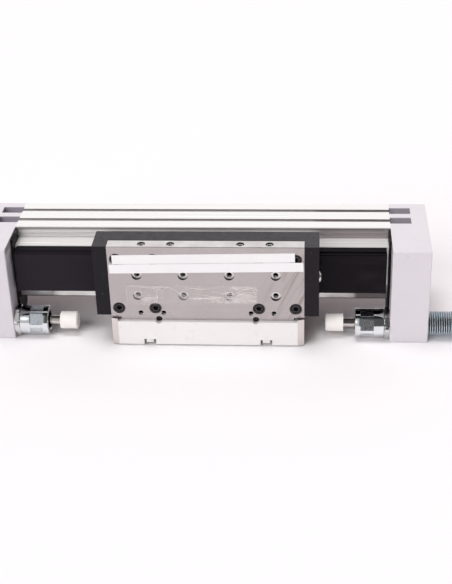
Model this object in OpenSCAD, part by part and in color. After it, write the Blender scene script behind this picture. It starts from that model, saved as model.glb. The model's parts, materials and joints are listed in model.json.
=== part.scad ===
// Rodless pneumatic cylinder with a recirculating-ball guide and a shock absorber at each end.
// Millimetres. X is the stroke, +Z is up, the slide plate faces -Y.
// Origin: centre of the footprint, on the plane the end caps stand on.
// Inside the file Y is counted from the front plane of the end caps, then moved by front_y.

/* [Stroke and slide position] */
// Nominal stroke of the slide
stroke = 100; // [60:10:200]
// Length of the cylinder over the end caps, beyond the stroke
length_over_stroke = 300; // [298:1:310]
// Distance of the slide from mid-stroke, to the right
slide_offset = 7.6; // [-20:0.2:20]

/* [End caps] */
// Length of an end cap along the stroke
cap_length = 33; // [31:0.5:36]
// Depth of an end cap, front to back
cap_depth = 94.7; // [94.2:0.1:97]
// Height of an end cap
cap_height = 89.9; // [89.9:0.1:92]
// Chamfer on the edges of an end cap
cap_edge = 1; // [0.4:0.1:1.2]
// Thickness of the pad on the inner face of a cap, beside the barrel
gasket_t = 2; // [1.5:0.1:2.5]
// Length of the top pockets that carry on the barrel slots
pocket_length = 18.8; // [15:0.1:19.5]
// Width of those pockets
pocket_width = 12; // [11:0.1:12.4]
// Length of the spigot that closes the bore
spigot_length = 10; // [9:0.5:11]

/* [Barrel] */
// Bore diameter
bore_d = 40; // [39:0.5:41]
// Bore axis behind the front plane of the caps
bore_y = 62; // [61.5:0.1:62.5]
// Bore axis above the caps' standing plane
bore_z = 57.8; // [57.4:0.1:58.4]
// Front face of the barrel, which carries the rail
barrel_front = 28.6; // [28.2:0.1:29.4]
// Back face of the barrel
barrel_back = 94; // [93.4:0.1:94.2]
// Underside of the barrel
barrel_bottom = 27.6; // [27.5:0.1:28]
// Top face of the barrel
barrel_top = 89.9; // [89.2:0.1:89.9]
// Step at the front edge of the top, where the guide passes
step_z = 79.4; // [79.2:0.1:79.5]
// Back end of that step
step_back = 44.7; // [44:0.1:45.5]
// Width of the mouth of a T-slot
slot_mouth = 5; // [4.8:0.1:5.6]
// Inner width of a T-slot
slot_width = 11; // [10.4:0.1:11.4]
// Thickness of the lips of a T-slot
slot_lip = 1.8; // [1.4:0.1:2.2]
// Full depth of a T-slot
slot_depth = 5.8; // [5.4:0.1:6]
// First T-slot on top, from the front plane
top_slot_a = 59.9; // [59:0.1:61]
// Second T-slot on top, from the front plane
top_slot_b = 79.5; // [79:0.1:80]
// Lower T-slot on the back
back_slot_a = 46; // [45:0.5:47]
// Upper T-slot on the back
back_slot_b = 66; // [65:0.5:66.5]

/* [Guide] */
// Height of the guide rail
rail_height = 38; // [37:0.5:38.5]
// Depth of the guide rail
rail_depth = 15.1; // [14.5:0.1:15.4]
// Height of the middle of the rail
rail_z = 60.5; // [60:0.1:61]
// Pitch of the rail screws
rail_screw_pitch = 40; // [36:1:44]
// Ball diameter
ball_d = 4; // [3.5:0.25:4]
// Number of balls in a loaded row
balls_per_row = 8; // [5:1:9]
// Length of a guide carriage
carriage_length = 46.5; // [45:0.5:48]
// Length of an end cover of the guide
cover_length = 12.7; // [11:0.1:14]

/* [Slide plate] */
// Length of the slide plate
plate_length = 169; // [168:1:172]
// Height of the slide plate
plate_height = 72; // [71:0.5:73]
// Thickness of the slide plate
plate_t = 12.3; // [11.8:0.1:12.5]
// How far the plate stands in front of the caps
plate_proud = 5.9; // [5.7:0.1:6.2]
// Pitch of the mounting holes along the stroke
hole_pitch = 40; // [38:1:42]
// Distance between the two rows of mounting holes
row_pitch = 20; // [18:1:22]
// Height of the middle between the two rows
row_mid_z = 58.9; // [58:0.1:60]
// Diameter of the centring bores round the mounting holes
centring_d = 9; // [8:0.5:9.5]
// Depth of the centring bores
centring_depth = 2.1; // [1.8:0.1:2.5]
// Core diameter of the mounting threads
thread_core_d = 5; // [4.6:0.2:5.4]
// Middle of a carriage from the middle of the slide
carriage_x = 61.2; // [60:0.1:61.2]
// Half pitch of the plate screws along the stroke
plate_screw_dx = 16; // [15:0.5:16.5]
// Half pitch of the plate screws in height
plate_screw_dz = 24; // [23:0.5:24.5]

/* [Driver under the barrel] */
// How far the driver stands in front of the caps
driver_proud = 9.1; // [8.8:0.1:9.5]
// Back end of the driver from the front plane
driver_back = 78; // [76:1:82]
// Clearance of the driver over the standing plane
driver_lift = 1.2; // [1:0.1:1.6]
// Top of the driver, on which the plate stands
driver_top = 24.5; // [24.3:0.1:24.6]
// Thickness of the hardened stop plates at both ends
stop_plate_t = 5.7; // [5:0.1:6]
// Bevel of the stop plates at the front
stop_plate_bevel = 1.9; // [1:0.1:2.2]

/* [Shock absorbers] */
// Distance of the absorber axis from the front of the cap
shock_y = 12; // [12:0.1:12.5]
// Height of the absorber axis
shock_z = 13; // [13:0.1:13.4]
// Thread diameter of the absorber body
shock_d = 22; // [21:0.5:22]
// Length of the body beyond the outer face of the cap
shock_beyond = 48; // [42:1:56]
// Length of the stop sleeve
sleeve_length = 25.4; // [25:0.2:26.5]
// Outer diameter of the stop sleeve
sleeve_d = 25.6; // [25:0.1:25.8]
// Width across the six flats of the sleeve
sleeve_flats = 23.4; // [23.2:0.1:24]
// Width across the flats of the lock nut
nut_flats = 24; // [24:0.1:24.4]
// Travel of the rod and its buffer
rod_travel = 26; // [22:1:26]
// Diameter of the absorber rod
rod_d = 8; // [7:0.5:8.5]
// Diameter of the buffer
buffer_d = 15.6; // [15:0.1:16]
// Length of the buffer
buffer_length = 15.6; // [15:0.2:16.6]

/* [Bands and piston] */
// Width of the slot for the driver neck
force_slot = 7; // [6.8:0.1:7.4]
// Thickness of the neck between piston and driver
neck_t = 6; // [5.6:0.1:6.2]
// Width of the inner seal band
inner_band_w = 12.4; // [12:0.1:12.6]
// Thickness of the inner seal band
inner_band_t = 1.2; // [1:0.1:1.2]
// Width of the outer cover band
outer_band_w = 14; // [13.6:0.1:14.2]
// Thickness of the outer cover band
outer_band_t = 0.8; // [0.6:0.1:0.9]
// Outer end of a piston from the middle of the slide
piston_reach = 104.5; // [103:0.5:104.5]
// Radial clearance of pistons' bearing rings and seals in the bore
piston_fit = 0.05; // [0.03:0.01:0.08]
// Radial clearance of the absorber rod in its bush
rod_fit = 0.05; // [0.03:0.01:0.08]
// Gap between the carriages and the rail flanks
rail_gap = 0.6; // [0.4:0.1:0.8]
// Radial clearance of the balls in their grooves
ball_fit = 0.03; // [0.02:0.01:0.06]
// Clearance of the wiper lips on the rail
wiper_fit = 0.08; // [0.04:0.01:0.1]
// Radial clearance of parts screwed or plugged into one another
joint_fit = 0.03; // [0.02:0.01:0.05]

/* [Hidden] */
cap_outer = (stroke + length_over_stroke) / 2;
cap_inner = cap_outer - cap_length;
barrel_end = cap_inner;
rail_end = cap_inner - 4;
pad_front = 22;
pad_back = 50;
pad_low = 9;
pad_corner = 8;
pad_gap = 0.1;
nut_clear = 14.8;
front_y = -(cap_depth + driver_proud) / 2 + driver_proud;
bore_r = bore_d / 2;
plate_front = -plate_proud;
plate_back = plate_front + plate_t;
plate_low = driver_top;
plate_top = plate_low + plate_height;
half_plate = plate_length / 2;
cover_end = half_plate + cover_length;
cover_back = 24.2;
cover_low = 28.9;
cover_front = plate_front + 0.2;
carriage_top = 91;
carriage_low = 30;
carriage_back = 26;
rail_front = barrel_front - rail_depth;
rail_top = rail_z + rail_height / 2;
rail_low = rail_z - rail_height / 2;
groove_y = rail_front + 4.6;
driver_half = half_plate - stop_plate_t;
driver_front = -driver_proud;
sleeve_face = stroke / 2 + half_plate + 1.9;
sleeve_back = sleeve_face + sleeve_length;
shock_face = sleeve_face + 17.8;
shock_end = cap_outer + shock_beyond;
shock_r = shock_d / 2;
buffer_tip = sleeve_face - rod_travel + 0.2;
yoke_r = bore_r - 0.8;
seat_z = bore_z - bore_r - 0.9;
seat_w = inner_band_w + 0.6;
band_top = seat_z + inner_band_t;
outer_seat_z = barrel_bottom + 0.1 + outer_band_t;
hump_foot = 25;
hump_flat = 11;
inner_hump = 6.7;
outer_hump = 6.8;
foot_low = 22.6;
foot_top = 26.6;
foot_half = 10;
foot_dy = 16;
piston_body = 20.5;
yoke_half = piston_reach - piston_body;
lower_edge = 1;
ledge_edge = 1.2;
groove_z = step_z + 5.2;
groove_t = 0.5;
band_h = 2.4;
foot_step = 0.35;
journal_r = 8;
journal_l = 12;
band_flat = inner_band_w / 2 + 1.8;
seal_in = bore_r - 3.6;
guide_in = bore_r - 2.4;
magnet_in = bore_r - 5;
cap_screw_d = 5.9;
cap_screw_head = 10;
cap_screw_seat = 7;
screw_spots = [
  [barrel_front + 6.9, barrel_bottom + 6.9], [barrel_front + 6.9, step_z - 6.75],
  [barrel_back - 6.4, barrel_bottom + 6.9], [barrel_back - 6.4, barrel_top - 10.7]
];
port_r = 5.9;
port_deep = 12;
port_x = cap_outer - 16;
plug_length = 10;
plug_sink = 0.4;
plug_key = 6;
foot_pitch = 14;
foot_z = [18, cap_height - 7.9];
air_channel_z = [41, 51];
air_channel_y = barrel_front + 6;
clamp_x = cap_inner + 5;
clamp_half = 4.5;
m5_head = 8.5;
m5_head_h = 5;
m5_d = 5;
m4_d = 4;
m4_head = 5.6;
m4_head_h = 1.6;
m4_length = 8;
rail_seat = 6.5;
strip_half = 8;
strip_t = 0.5;
rod_inside = 71.8;
rod_tail = sleeve_face + 0.2 + rod_inside;
rod_head_r = 8;
rod_head_l = 5;
rod_root = 5;
sleeve_lip = 4.8;
flat_length = 11.7;
top_hole_x = [30, 55];
top_hole_r = 2.6;
hole_sink = 1.1;
small_hole_r = 2.5;
small_hole_x = [38.3, 58.3];
small_hole_z = plate_low + 7.4;
pin_r = 2.9;
pin_x = 42.5;
pin_z = plate_low + 1;
driver_screw_x = [25, driver_half - 12.8];
screw_y = (plate_front + plate_back) / 2;
counterbore = 6;
notch_half = 5.2;
notch_x = 51.4;
notch_high = 5.4;
notch_deep = 9;
insert_half = 3.2;
stop_plate_back = 40;
stop_plate_top = plate_low + 2.4;
stop_screw_y = [driver_front + 5.9, stop_plate_back - 4];
stop_screw_z = 9;
corner_w = 3.3;
corner_h = 3;
cover_screw_z = [cover_low + 4.1, plate_top - 6.5];
cover_screw_y = cover_back - 7.2;
wiper_wide = 5;
wiper_front = rail_front - 4.5;
wiper_t = 1.8;
nipple_y = plate_front + 9.6;
nipple_z = rail_z + 3.3;
nipple_r = 5;
neck_half = 9;
yoke_screw_dy = 11.5;
left_right = [-1, 1];

// ---- helpers ----

module housing() translate([0, front_y, 0]) children();

module slide() translate([slide_offset, front_y, 0]) children();

module both() {
  children();
  mirror([1, 0, 0]) children();
}

module box(x0, x1, y0, y1, z0, z1)
  translate([x0, y0, z0]) cube([x1 - x0, y1 - y0, z1 - z0]);

module run_x(x0, x1) translate([x0, 0, 0]) rotate([90, 0, 90]) linear_extrude(x1 - x0) children();

module run_y(y0, y1) translate([0, y1, 0]) rotate([90, 0, 0]) linear_extrude(y1 - y0) children();

module bar_x(r, x0, x1, y, z)
  translate([x0, y, z]) rotate([0, 90, 0]) cylinder(r = r, h = x1 - x0, $fn = 64);

module bar_y(r, y0, y1, x, z)
  translate([x, y1, z]) rotate([90, 0, 0]) cylinder(r = r, h = y1 - y0, $fn = 48);

module bar_z(r, z0, z1, x, y) translate([x, y, z0]) cylinder(r = r, h = z1 - z0, $fn = 48);

// Tube along X, used to cut ring grooves and to make rings.
module tube_x(r_out, r_in, x0, x1, y, z)
  difference() {
    bar_x(r_out, x0, x1, y, z);
    bar_x(r_in, x0 - 1, x1 + 1, y, z);
  }

// Socket-head screw: head above z = 0, shank below.
module cap_screw(d, length, head_d, head_h, key) {
  difference() {
    union() {
      cylinder(d = head_d, h = head_h, $fn = 48);
      translate([0, 0, -length]) cylinder(d = d, h = length + 1, $fn = 48);
    }
    translate([0, 0, head_h / 2]) cylinder(d = key / cos(30), h = head_h, $fn = 6);
  }
}

// Countersunk screw with its top at z = 0.
module flat_screw(d, length, head_d, key) {
  difference() {
    union() {
      translate([0, 0, -(head_d - d) / 2]) cylinder(d1 = d, d2 = head_d, h = (head_d - d) / 2, $fn = 48);
      translate([0, 0, -length]) cylinder(d = d, h = length - 0.2, $fn = 48);
    }
    translate([0, 0, -1.6]) cylinder(d = key / cos(30), h = 3, $fn = 6);
  }
}

function chamfered(a0, a1, b0, b1, c) = [
  [a0 + c, b0], [a1 - c, b0], [a1, b0 + c], [a1, b1 - c],
  [a1 - c, b1], [a0 + c, b1], [a0, b1 - c], [a0, b0 + c]
];

// T-slot section with its mouth at v = 0, going down.
module t_slot() {
  translate([-slot_mouth / 2, -slot_lip - 0.5]) square([slot_mouth, slot_lip + 1.5]);
  translate([-slot_width / 2, -slot_depth]) square([slot_width, slot_depth - slot_lip]);
}

// ---- barrel ----

// Outline of the barrel; the face of the step has a fine groove, a sloped band and a filled foot.
module barrel_outline() {
  polygon([
    [barrel_front, barrel_bottom + lower_edge], [barrel_front + lower_edge, barrel_bottom],
    [barrel_back - 1, barrel_bottom], [barrel_back, barrel_bottom + 1],
    [barrel_back, barrel_top - 0.5], [barrel_back - 0.5, barrel_top],
    [step_back + 0.6, barrel_top], [step_back, barrel_top - 0.6],
    [step_back, groove_z + groove_t], [step_back + groove_t, groove_z + groove_t],
    [step_back + groove_t, groove_z], [step_back, groove_z],
    [step_back - foot_step, groove_z - band_h], [step_back - foot_step, step_z + 0.6],
    [step_back - foot_step - 0.6, step_z], [barrel_front + ledge_edge, step_z],
    [barrel_front, step_z - ledge_edge]
  ]);
}

module barrel_profile() {
  color([0.86, 0.85, 0.84])
    housing()
      run_x(-barrel_end, barrel_end)
        difference() {
          barrel_outline();
          translate([bore_y, bore_z]) circle(r = bore_r, $fn = 128);
          translate([bore_y - seat_w / 2, seat_z]) square([seat_w, 4]);
          translate([bore_y - force_slot / 2, barrel_bottom - 1]) square([force_slot, 12]);
          translate([bore_y - outer_band_w / 2 - 0.3, barrel_bottom - 1])
            square([outer_band_w + 0.6, outer_seat_z - barrel_bottom + 1]);
          for (y = [top_slot_a, top_slot_b])
            translate([y, barrel_top]) t_slot();
          for (z = [back_slot_a, back_slot_b])
            translate([barrel_back, z]) rotate(-90) t_slot();
          for (s = screw_spots)
            translate(s) circle(r = 3, $fn = 48);
          for (z = air_channel_z)
            translate([air_channel_y, z]) circle(r = 2.4, $fn = 48);
        }
}

// ---- end caps ----

module end_cap() {
  difference() {
    union() {
      intersection() {
        run_x(cap_inner, cap_outer) polygon(chamfered(0, cap_depth, 0, cap_height, cap_edge));
        linear_extrude(cap_height) polygon(chamfered(cap_inner, cap_outer, 0, cap_depth, cap_edge * 0.6));
      }
      bar_x(bore_r - piston_fit, cap_inner - spigot_length, cap_inner + 1, bore_y, bore_z);
    }
    // Flat under the spigot, where the inner band lies.
    box(cap_inner - spigot_length - 1, clamp_x + clamp_half + 1, bore_y - band_flat,
        bore_y + band_flat, outer_seat_z - outer_band_t - 1.3, band_top + 0.2);
    tube_x(bore_r + 1, bore_r - 1.8, cap_inner - 6.4, cap_inner - 4, bore_y, bore_z);
    for (y = [top_slot_a, top_slot_b])
      box(cap_inner - 1, cap_inner + pocket_length, y - pocket_width / 2, y + pocket_width / 2,
          barrel_top - slot_depth, cap_height + 1);
    bar_x(shock_r + joint_fit, cap_inner - 1, cap_outer + 1, shock_y, shock_z);
    // Supply port on the outer face and its channel to the bore.
    bar_x(port_r, cap_outer - port_deep, cap_outer + 1, bore_y, bore_z);
    bar_x(3.5, cap_inner - spigot_length - 1, cap_outer - port_deep + 1, bore_y, bore_z);
    // Second supply port on the back.
    bar_y(port_r, cap_depth - port_deep, cap_depth + 1, port_x, bore_z);
    bar_y(3.5, bore_y, cap_depth - port_deep + 1, port_x, bore_z);
    for (s = screw_spots) {
      bar_x(cap_screw_d / 2 + 0.35, cap_inner - 1, cap_outer + 1, s[0], s[1]);
      bar_x(cap_screw_head / 2 + 0.5, cap_outer - cap_screw_seat, cap_outer + 1, s[0], s[1]);
    }
    for (y = [bore_y - foot_pitch, bore_y + foot_pitch], z = foot_z)
      bar_x(2.5, cap_outer - port_deep, cap_outer + 1, y, z);
    bar_z(m5_d / 2 + joint_fit, -1, barrel_bottom, clamp_x, bore_y);
  }
}

module left_end_cap() {
  color([0.84, 0.83, 0.85]) housing() mirror([1, 0, 0]) end_cap();
}

module right_end_cap() {
  color([0.84, 0.83, 0.85]) housing() end_cap();
}

// Pad beside and below the barrel, cut out round the lock nut.
module cap_gasket() {
  run_x(cap_inner - gasket_t, cap_inner)
    difference() {
      union() {
        translate([pad_front, barrel_bottom])
          square([step_back - pad_front, cap_height - 1.9 - barrel_bottom]);
        hull() {
          translate([pad_front, barrel_bottom]) square([pad_back - pad_front, 0.1]);
          for (y = [pad_front + pad_corner, pad_back - pad_corner])
            translate([y, pad_low + pad_corner]) circle(r = pad_corner, $fn = 64);
        }
      }
      translate([barrel_front - pad_gap, barrel_bottom - pad_gap])
        square([barrel_back - barrel_front, step_z - barrel_bottom + 2 * pad_gap]);
      translate([step_back - foot_step - pad_gap, barrel_bottom]) square([2, barrel_top]);
      translate([shock_y, shock_z]) circle(r = nut_clear, $fn = 96);
    }
}

module left_cap_gasket() {
  color([0.13, 0.12, 0.14]) housing() mirror([1, 0, 0]) cap_gasket();
}

module right_cap_gasket() {
  color([0.13, 0.12, 0.14]) housing() cap_gasket();
}

module end_cap_screws() {
  color([0.20, 0.20, 0.21])
    housing()
      both()
        for (s = screw_spots)
          translate([cap_outer - cap_screw_seat, s[0], s[1]])
            rotate([0, 90, 0])
              cap_screw(cap_screw_d, cap_length - cap_screw_seat + 15,
                        cap_screw_head, 6, 5);
}

// Sealing rings round the spigots, open at the flat for the band.
module spigot_rings() {
  color([0.10, 0.10, 0.10])
    housing()
      both()
        difference() {
          tube_x(bore_r - 0.02, bore_r - 1.8, cap_inner - 6.4, cap_inner - 4, bore_y, bore_z);
          box(cap_inner - 8, cap_inner, bore_y - band_flat, bore_y + band_flat,
              barrel_bottom, band_top + 0.2);
        }
}

// Blocks that hold the ends of both bands in the caps.
module band_clamps() {
  color([0.70, 0.70, 0.71])
    housing()
      both()
        box(clamp_x - clamp_half + 0.1, clamp_x + clamp_half + 0.1, bore_y - outer_band_w / 2 - 0.2,
            bore_y + outer_band_w / 2 + 0.2, outer_seat_z, seat_z);
}

module clamp_screws() {
  color([0.20, 0.20, 0.21])
    housing()
      both()
        difference() {
          bar_z(m5_d / 2, barrel_bottom / 2, outer_seat_z - outer_band_t, clamp_x, bore_y);
          translate([clamp_x, bore_y, barrel_bottom / 2 - 1]) cylinder(d = 2.5 / cos(30), h = 4, $fn = 6);
        }
}

module port_plugs() {
  color([0.62, 0.60, 0.50])
    housing()
      both()
        difference() {
          bar_y(port_r - joint_fit, cap_depth - plug_sink - plug_length, cap_depth - plug_sink,
                port_x, bore_z);
          translate([port_x, cap_depth - plug_sink - plug_length / 2, bore_z])
            rotate([-90, 0, 0]) cylinder(d = plug_key / cos(30), h = plug_length, $fn = 6);
        }
}

// ---- guide rail ----

module guide_rail() {
  color([0.18, 0.16, 0.19])
    housing()
      difference() {
        run_x(-rail_end, rail_end)
          difference() {
            polygon(chamfered(rail_front, barrel_front, rail_low, rail_top, 0.8));
            for (z = [rail_low, rail_top])
              translate([groove_y, z]) circle(r = ball_d / 2 + ball_fit, $fn = 48);
            translate([rail_front - 1, rail_z - strip_half]) square([1 + strip_t, 2 * strip_half]);
          }
        for (i = [-3.5 : 3.5]) {
          bar_y(m5_head / 2 + 0.55, rail_front - 1, rail_front + rail_seat, i * rail_screw_pitch, rail_z);
          bar_y(m5_d / 2 + 0.3, rail_front, barrel_front + 1, i * rail_screw_pitch, rail_z);
        }
      }
}

module rail_screws() {
  color([0.25, 0.25, 0.26])
    housing()
      for (i = [-3.5 : 3.5])
        translate([i * rail_screw_pitch, rail_front + rail_seat, rail_z])
          rotate([90, 0, 0]) cap_screw(m5_d, rail_depth - rail_seat, m5_head, m5_head_h, 4);
}

module rail_cover_strip() {
  color([0.15, 0.14, 0.16])
    housing()
      box(-rail_end, rail_end, rail_front, rail_front + strip_t, rail_z - strip_half, rail_z + strip_half);
}

// ---- bands ----

module band(half, base, t, hump) {
  polygon([
    [-half, base], [slide_offset - hump_foot, base], [slide_offset - hump_flat, base + hump],
    [slide_offset + hump_flat, base + hump], [slide_offset + hump_foot, base], [half, base],
    [half, base + t], [slide_offset + hump_foot, base + t],
    [slide_offset + hump_flat, base + hump + t], [slide_offset - hump_flat, base + hump + t],
    [slide_offset - hump_foot, base + t], [-half, base + t]
  ]);
}

module outer_cover_band() {
  color([0.80, 0.80, 0.80])
    housing()
      run_y(bore_y - outer_band_w / 2, bore_y + outer_band_w / 2)
        band(clamp_x + clamp_half + 0.1, outer_seat_z - outer_band_t, outer_band_t, -outer_hump);
}

module inner_seal_band() {
  color([0.45, 0.40, 0.30])
    housing()
      run_y(bore_y - inner_band_w / 2, bore_y + inner_band_w / 2)
        band(clamp_x + clamp_half + 0.1, seat_z, inner_band_t, inner_hump);
}

// ---- shock absorbers, drawn for the right end ----

module shock_body() {
  difference() {
    union() {
      bar_x(shock_r, shock_face + 1, shock_end - 1, shock_y, shock_z);
      translate([shock_face, shock_y, shock_z])
        rotate([0, 90, 0]) cylinder(r1 = shock_r - 1, r2 = shock_r, h = 1, $fn = 64);
      translate([shock_end - 1, shock_y, shock_z])
        rotate([0, 90, 0]) cylinder(r1 = shock_r, r2 = shock_r - 1, h = 1, $fn = 64);
    }
    bar_x(rod_d / 2 + rod_fit, shock_face - 1, shock_face + 9, shock_y, shock_z);
    bar_x(rod_head_r, shock_face + 8, shock_end - 8, shock_y, shock_z);
    translate([shock_end - 5, shock_y, shock_z])
      rotate([0, 90, 0]) cylinder(d = 8 / cos(30), h = 8, $fn = 6);
  }
}

module stop_sleeve() {
  flat_x0 = sleeve_face + sleeve_lip;
  flat_x1 = flat_x0 + flat_length;
  difference() {
    bar_x(sleeve_d / 2, sleeve_face, sleeve_back, shock_y, shock_z);
    bar_x(buffer_d / 2 + 0.8, sleeve_face - 1, sleeve_face + 17.6, shock_y, shock_z);
    bar_x(shock_r + joint_fit, sleeve_face + 17.5, sleeve_back + 1, shock_y, shock_z);
    difference() {
      bar_x(sleeve_d / 2 + 2, flat_x0, flat_x1, shock_y, shock_z);
      translate([flat_x0 - 1, shock_y, shock_z])
        rotate([21, 0, 0]) rotate([0, 90, 0])
          cylinder(d = sleeve_flats / cos(30), h = flat_x1 - flat_x0 + 2, $fn = 6);
    }
  }
}

module lock_nut() {
  difference() {
    translate([sleeve_back + 0.1, shock_y, shock_z])
      rotate([30, 0, 0]) rotate([0, 90, 0])
        cylinder(d = nut_flats / cos(30), h = cap_inner - sleeve_back - 0.1, $fn = 6);
    bar_x(shock_r + joint_fit, sleeve_back - 1, cap_inner + 1, shock_y, shock_z);
  }
}

module shock_rod() {
  bar_x(rod_d / 2, buffer_tip + rod_root, rod_tail, shock_y, shock_z);
  bar_x(rod_head_r - rod_fit, rod_tail - rod_head_l, rod_tail, shock_y, shock_z);
}

module buffer() {
  difference() {
    union() {
      bar_x(buffer_d / 2, buffer_tip + 1.2, buffer_tip + buffer_length, shock_y, shock_z);
      translate([buffer_tip, shock_y, shock_z])
        rotate([0, 90, 0]) cylinder(r1 = buffer_d / 2 - 1.2, r2 = buffer_d / 2, h = 1.2, $fn = 64);
    }
    bar_x(rod_d / 2, buffer_tip + rod_root, buffer_tip + buffer_length + 1, shock_y, shock_z);
  }
}

module left_shock_body() {
  color([0.66, 0.72, 0.76]) housing() mirror([1, 0, 0]) shock_body();
}

module right_shock_body() {
  color([0.66, 0.72, 0.76]) housing() shock_body();
}

module left_stop_sleeve() {
  color([0.72, 0.72, 0.72]) housing() mirror([1, 0, 0]) stop_sleeve();
}

module right_stop_sleeve() {
  color([0.72, 0.72, 0.72]) housing() stop_sleeve();
}

module left_lock_nut() {
  color([0.66, 0.66, 0.66]) housing() mirror([1, 0, 0]) lock_nut();
}

module right_lock_nut() {
  color([0.66, 0.66, 0.66]) housing() lock_nut();
}

module left_rod() {
  color([0.78, 0.77, 0.76]) housing() mirror([1, 0, 0]) shock_rod();
}

module right_rod() {
  color([0.78, 0.77, 0.76]) housing() shock_rod();
}

module left_buffer() {
  color([0.94, 0.92, 0.88]) housing() mirror([1, 0, 0]) buffer();
}

module right_buffer() {
  color([0.94, 0.92, 0.88]) housing() buffer();
}

// ---- slide plate ----

module slide_plate() {
  screw_x = [carriage_x - plate_screw_dx, carriage_x + plate_screw_dx];
  color([0.72, 0.70, 0.68])
    slide()
      difference() {
        run_x(-half_plate, half_plate)
          polygon(chamfered(plate_front, plate_back, plate_low, plate_top, 0.4));
        for (x = [-1.5 : 1.5], z = [-0.5, 0.5]) {
          bar_y(centring_d / 2, plate_front - 1, plate_front + centring_depth,
                x * hole_pitch, row_mid_z + z * row_pitch);
          bar_y(thread_core_d / 2, plate_front, plate_back - 2,
                x * hole_pitch, row_mid_z + z * row_pitch);
        }
        for (s = left_right, x = screw_x, z = [rail_z - plate_screw_dz, rail_z + plate_screw_dz]) {
          bar_y(5.5, plate_front - 1, plate_front + 6.6, s * x, z);
          bar_y(3.3, plate_front, plate_back + 1, s * x, z);
        }
        for (s = left_right) {
          for (x = top_hole_x) {
            bar_z(top_hole_r, plate_top - 10, plate_top + 1, s * x, screw_y);
            translate([s * x, screw_y, plate_top - hole_sink])
              cylinder(r1 = top_hole_r, r2 = top_hole_r + hole_sink, h = hole_sink + 0.01, $fn = 48);
          }
          for (x = small_hole_x)
            bar_y(small_hole_r, plate_front - 1, plate_front + 8, s * x, small_hole_z);
          for (x = driver_screw_x)
            bar_z(m5_d / 2 + joint_fit, plate_low - 1, plate_low + 9.5, s * x, screw_y);
          bar_y(pin_r + joint_fit, plate_front - 1, plate_back - 1, s * pin_x, pin_z);
        }
        both()
          box(driver_half - corner_w, half_plate + 1, plate_front - 1, plate_back + 1,
              plate_low - 1, plate_low + corner_h);
      }
}

module plate_screws() {
  color([0.10, 0.10, 0.11])
    slide()
      for (s = left_right, x = [-plate_screw_dx, plate_screw_dx], z = [-plate_screw_dz, plate_screw_dz])
        translate([s * carriage_x + x, plate_front + 6.6, rail_z + z])
          rotate([90, 0, 0]) cap_screw(6, plate_t - 6.6 + 5.5, 10, 6, 5);
}

// Dowels on the parting line of plate and driver.
module parting_pins() {
  color([0.16, 0.16, 0.17])
    slide()
      for (s = left_right)
        bar_y(pin_r, plate_front + 1.5, plate_back - 1.2, s * pin_x, pin_z);
}

// ---- driver under the barrel ----

module driver_block() {
  color([0.90, 0.90, 0.90])
    slide()
      difference() {
        run_x(-driver_half, driver_half)
          polygon([
            [driver_front + 0.4, driver_lift], [driver_back - 0.5, driver_lift],
            [driver_back, driver_lift + 0.5], [driver_back, driver_top],
            [driver_front + 0.4, driver_top], [driver_front, driver_top - 0.4],
            [driver_front, driver_lift + 0.4]
          ]);
        // Pocket for the foot of the yoke and channel for the outer band.
        box(-foot_half - 0.05, foot_half + 0.05, bore_y - foot_dy - 0.05, bore_y + foot_dy + 0.05,
            foot_low, driver_top + 1);
        run_y(bore_y - outer_band_w / 2 - 0.5, bore_y + outer_band_w / 2 + 0.5)
          polygon([[-21.5, driver_top + 1], [-20, driver_top - 0.5], [-12, foot_low - 2.4],
                   [12, foot_low - 2.4], [20, driver_top - 0.5], [21.5, driver_top + 1]]);
        for (s = left_right) {
          bar_y(pin_r + joint_fit, driver_front - 1, plate_back - 1, s * pin_x, pin_z);
          box(s * notch_x - notch_half, s * notch_x + notch_half, driver_front - 1,
              driver_front + notch_deep, driver_lift - 1, driver_lift + notch_high);
          for (x = driver_screw_x) {
            bar_z(m5_d / 2 + 0.3, driver_lift, driver_top + 1, s * x, screw_y);
            bar_z(m5_head / 2 + 0.45, driver_lift - 1, driver_lift + counterbore, s * x, screw_y);
          }
          for (y = stop_screw_y)
            bar_x(m5_d / 2 + 0.1, s * driver_half - 12, s * driver_half + 12, y, stop_screw_z);
          bar_z(m5_d / 2 + 0.3, driver_lift, foot_low + 1, 0, bore_y + s * yoke_screw_dy);
          bar_z(m5_head / 2 + 0.45, driver_lift - 1, driver_lift + counterbore, 0,
                bore_y + s * yoke_screw_dy);
        }
      }
}

// Slot nuts in the lower edge of the driver.
module driver_inserts() {
  color([0.92, 0.92, 0.91])
    slide()
      for (s = left_right)
        box(s * notch_x - insert_half, s * notch_x + insert_half, driver_front + 0.6,
            driver_front + notch_deep, driver_lift + 2, driver_lift + notch_high);
}

module driver_screws() {
  color([0.20, 0.20, 0.21])
    slide()
      for (s = left_right, x = driver_screw_x)
        translate([s * x, screw_y, driver_lift + counterbore])
          rotate([180, 0, 0])
            cap_screw(m5_d, driver_top - driver_lift - counterbore + 8.5, m5_head, m5_head_h, 4);
}

module yoke_screws() {
  color([0.20, 0.20, 0.21])
    slide()
      for (s = left_right)
        translate([0, bore_y + s * yoke_screw_dy, driver_lift + counterbore])
          rotate([180, 0, 0])
            cap_screw(m5_d, foot_top - driver_lift - counterbore - 0.4, m5_head, m5_head_h, 4);
}

module stop_plate() {
  difference() {
    translate([0, 0, driver_lift])
      linear_extrude(stop_plate_top - driver_lift)
        polygon([
          [driver_half, driver_front], [half_plate, driver_front + stop_plate_bevel],
          [half_plate, stop_plate_back], [driver_half, stop_plate_back]
        ]);
    for (y = stop_screw_y) {
      translate([half_plate - 1.5, y, stop_screw_z])
        rotate([0, 90, 0]) cylinder(d1 = m5_d + 0.2, d2 = m5_d + 3.2, h = 1.51, $fn = 48);
      bar_x(m5_d / 2 + 0.1, driver_half - 1, half_plate + 1, y, stop_screw_z);
    }
  }
}

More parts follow.
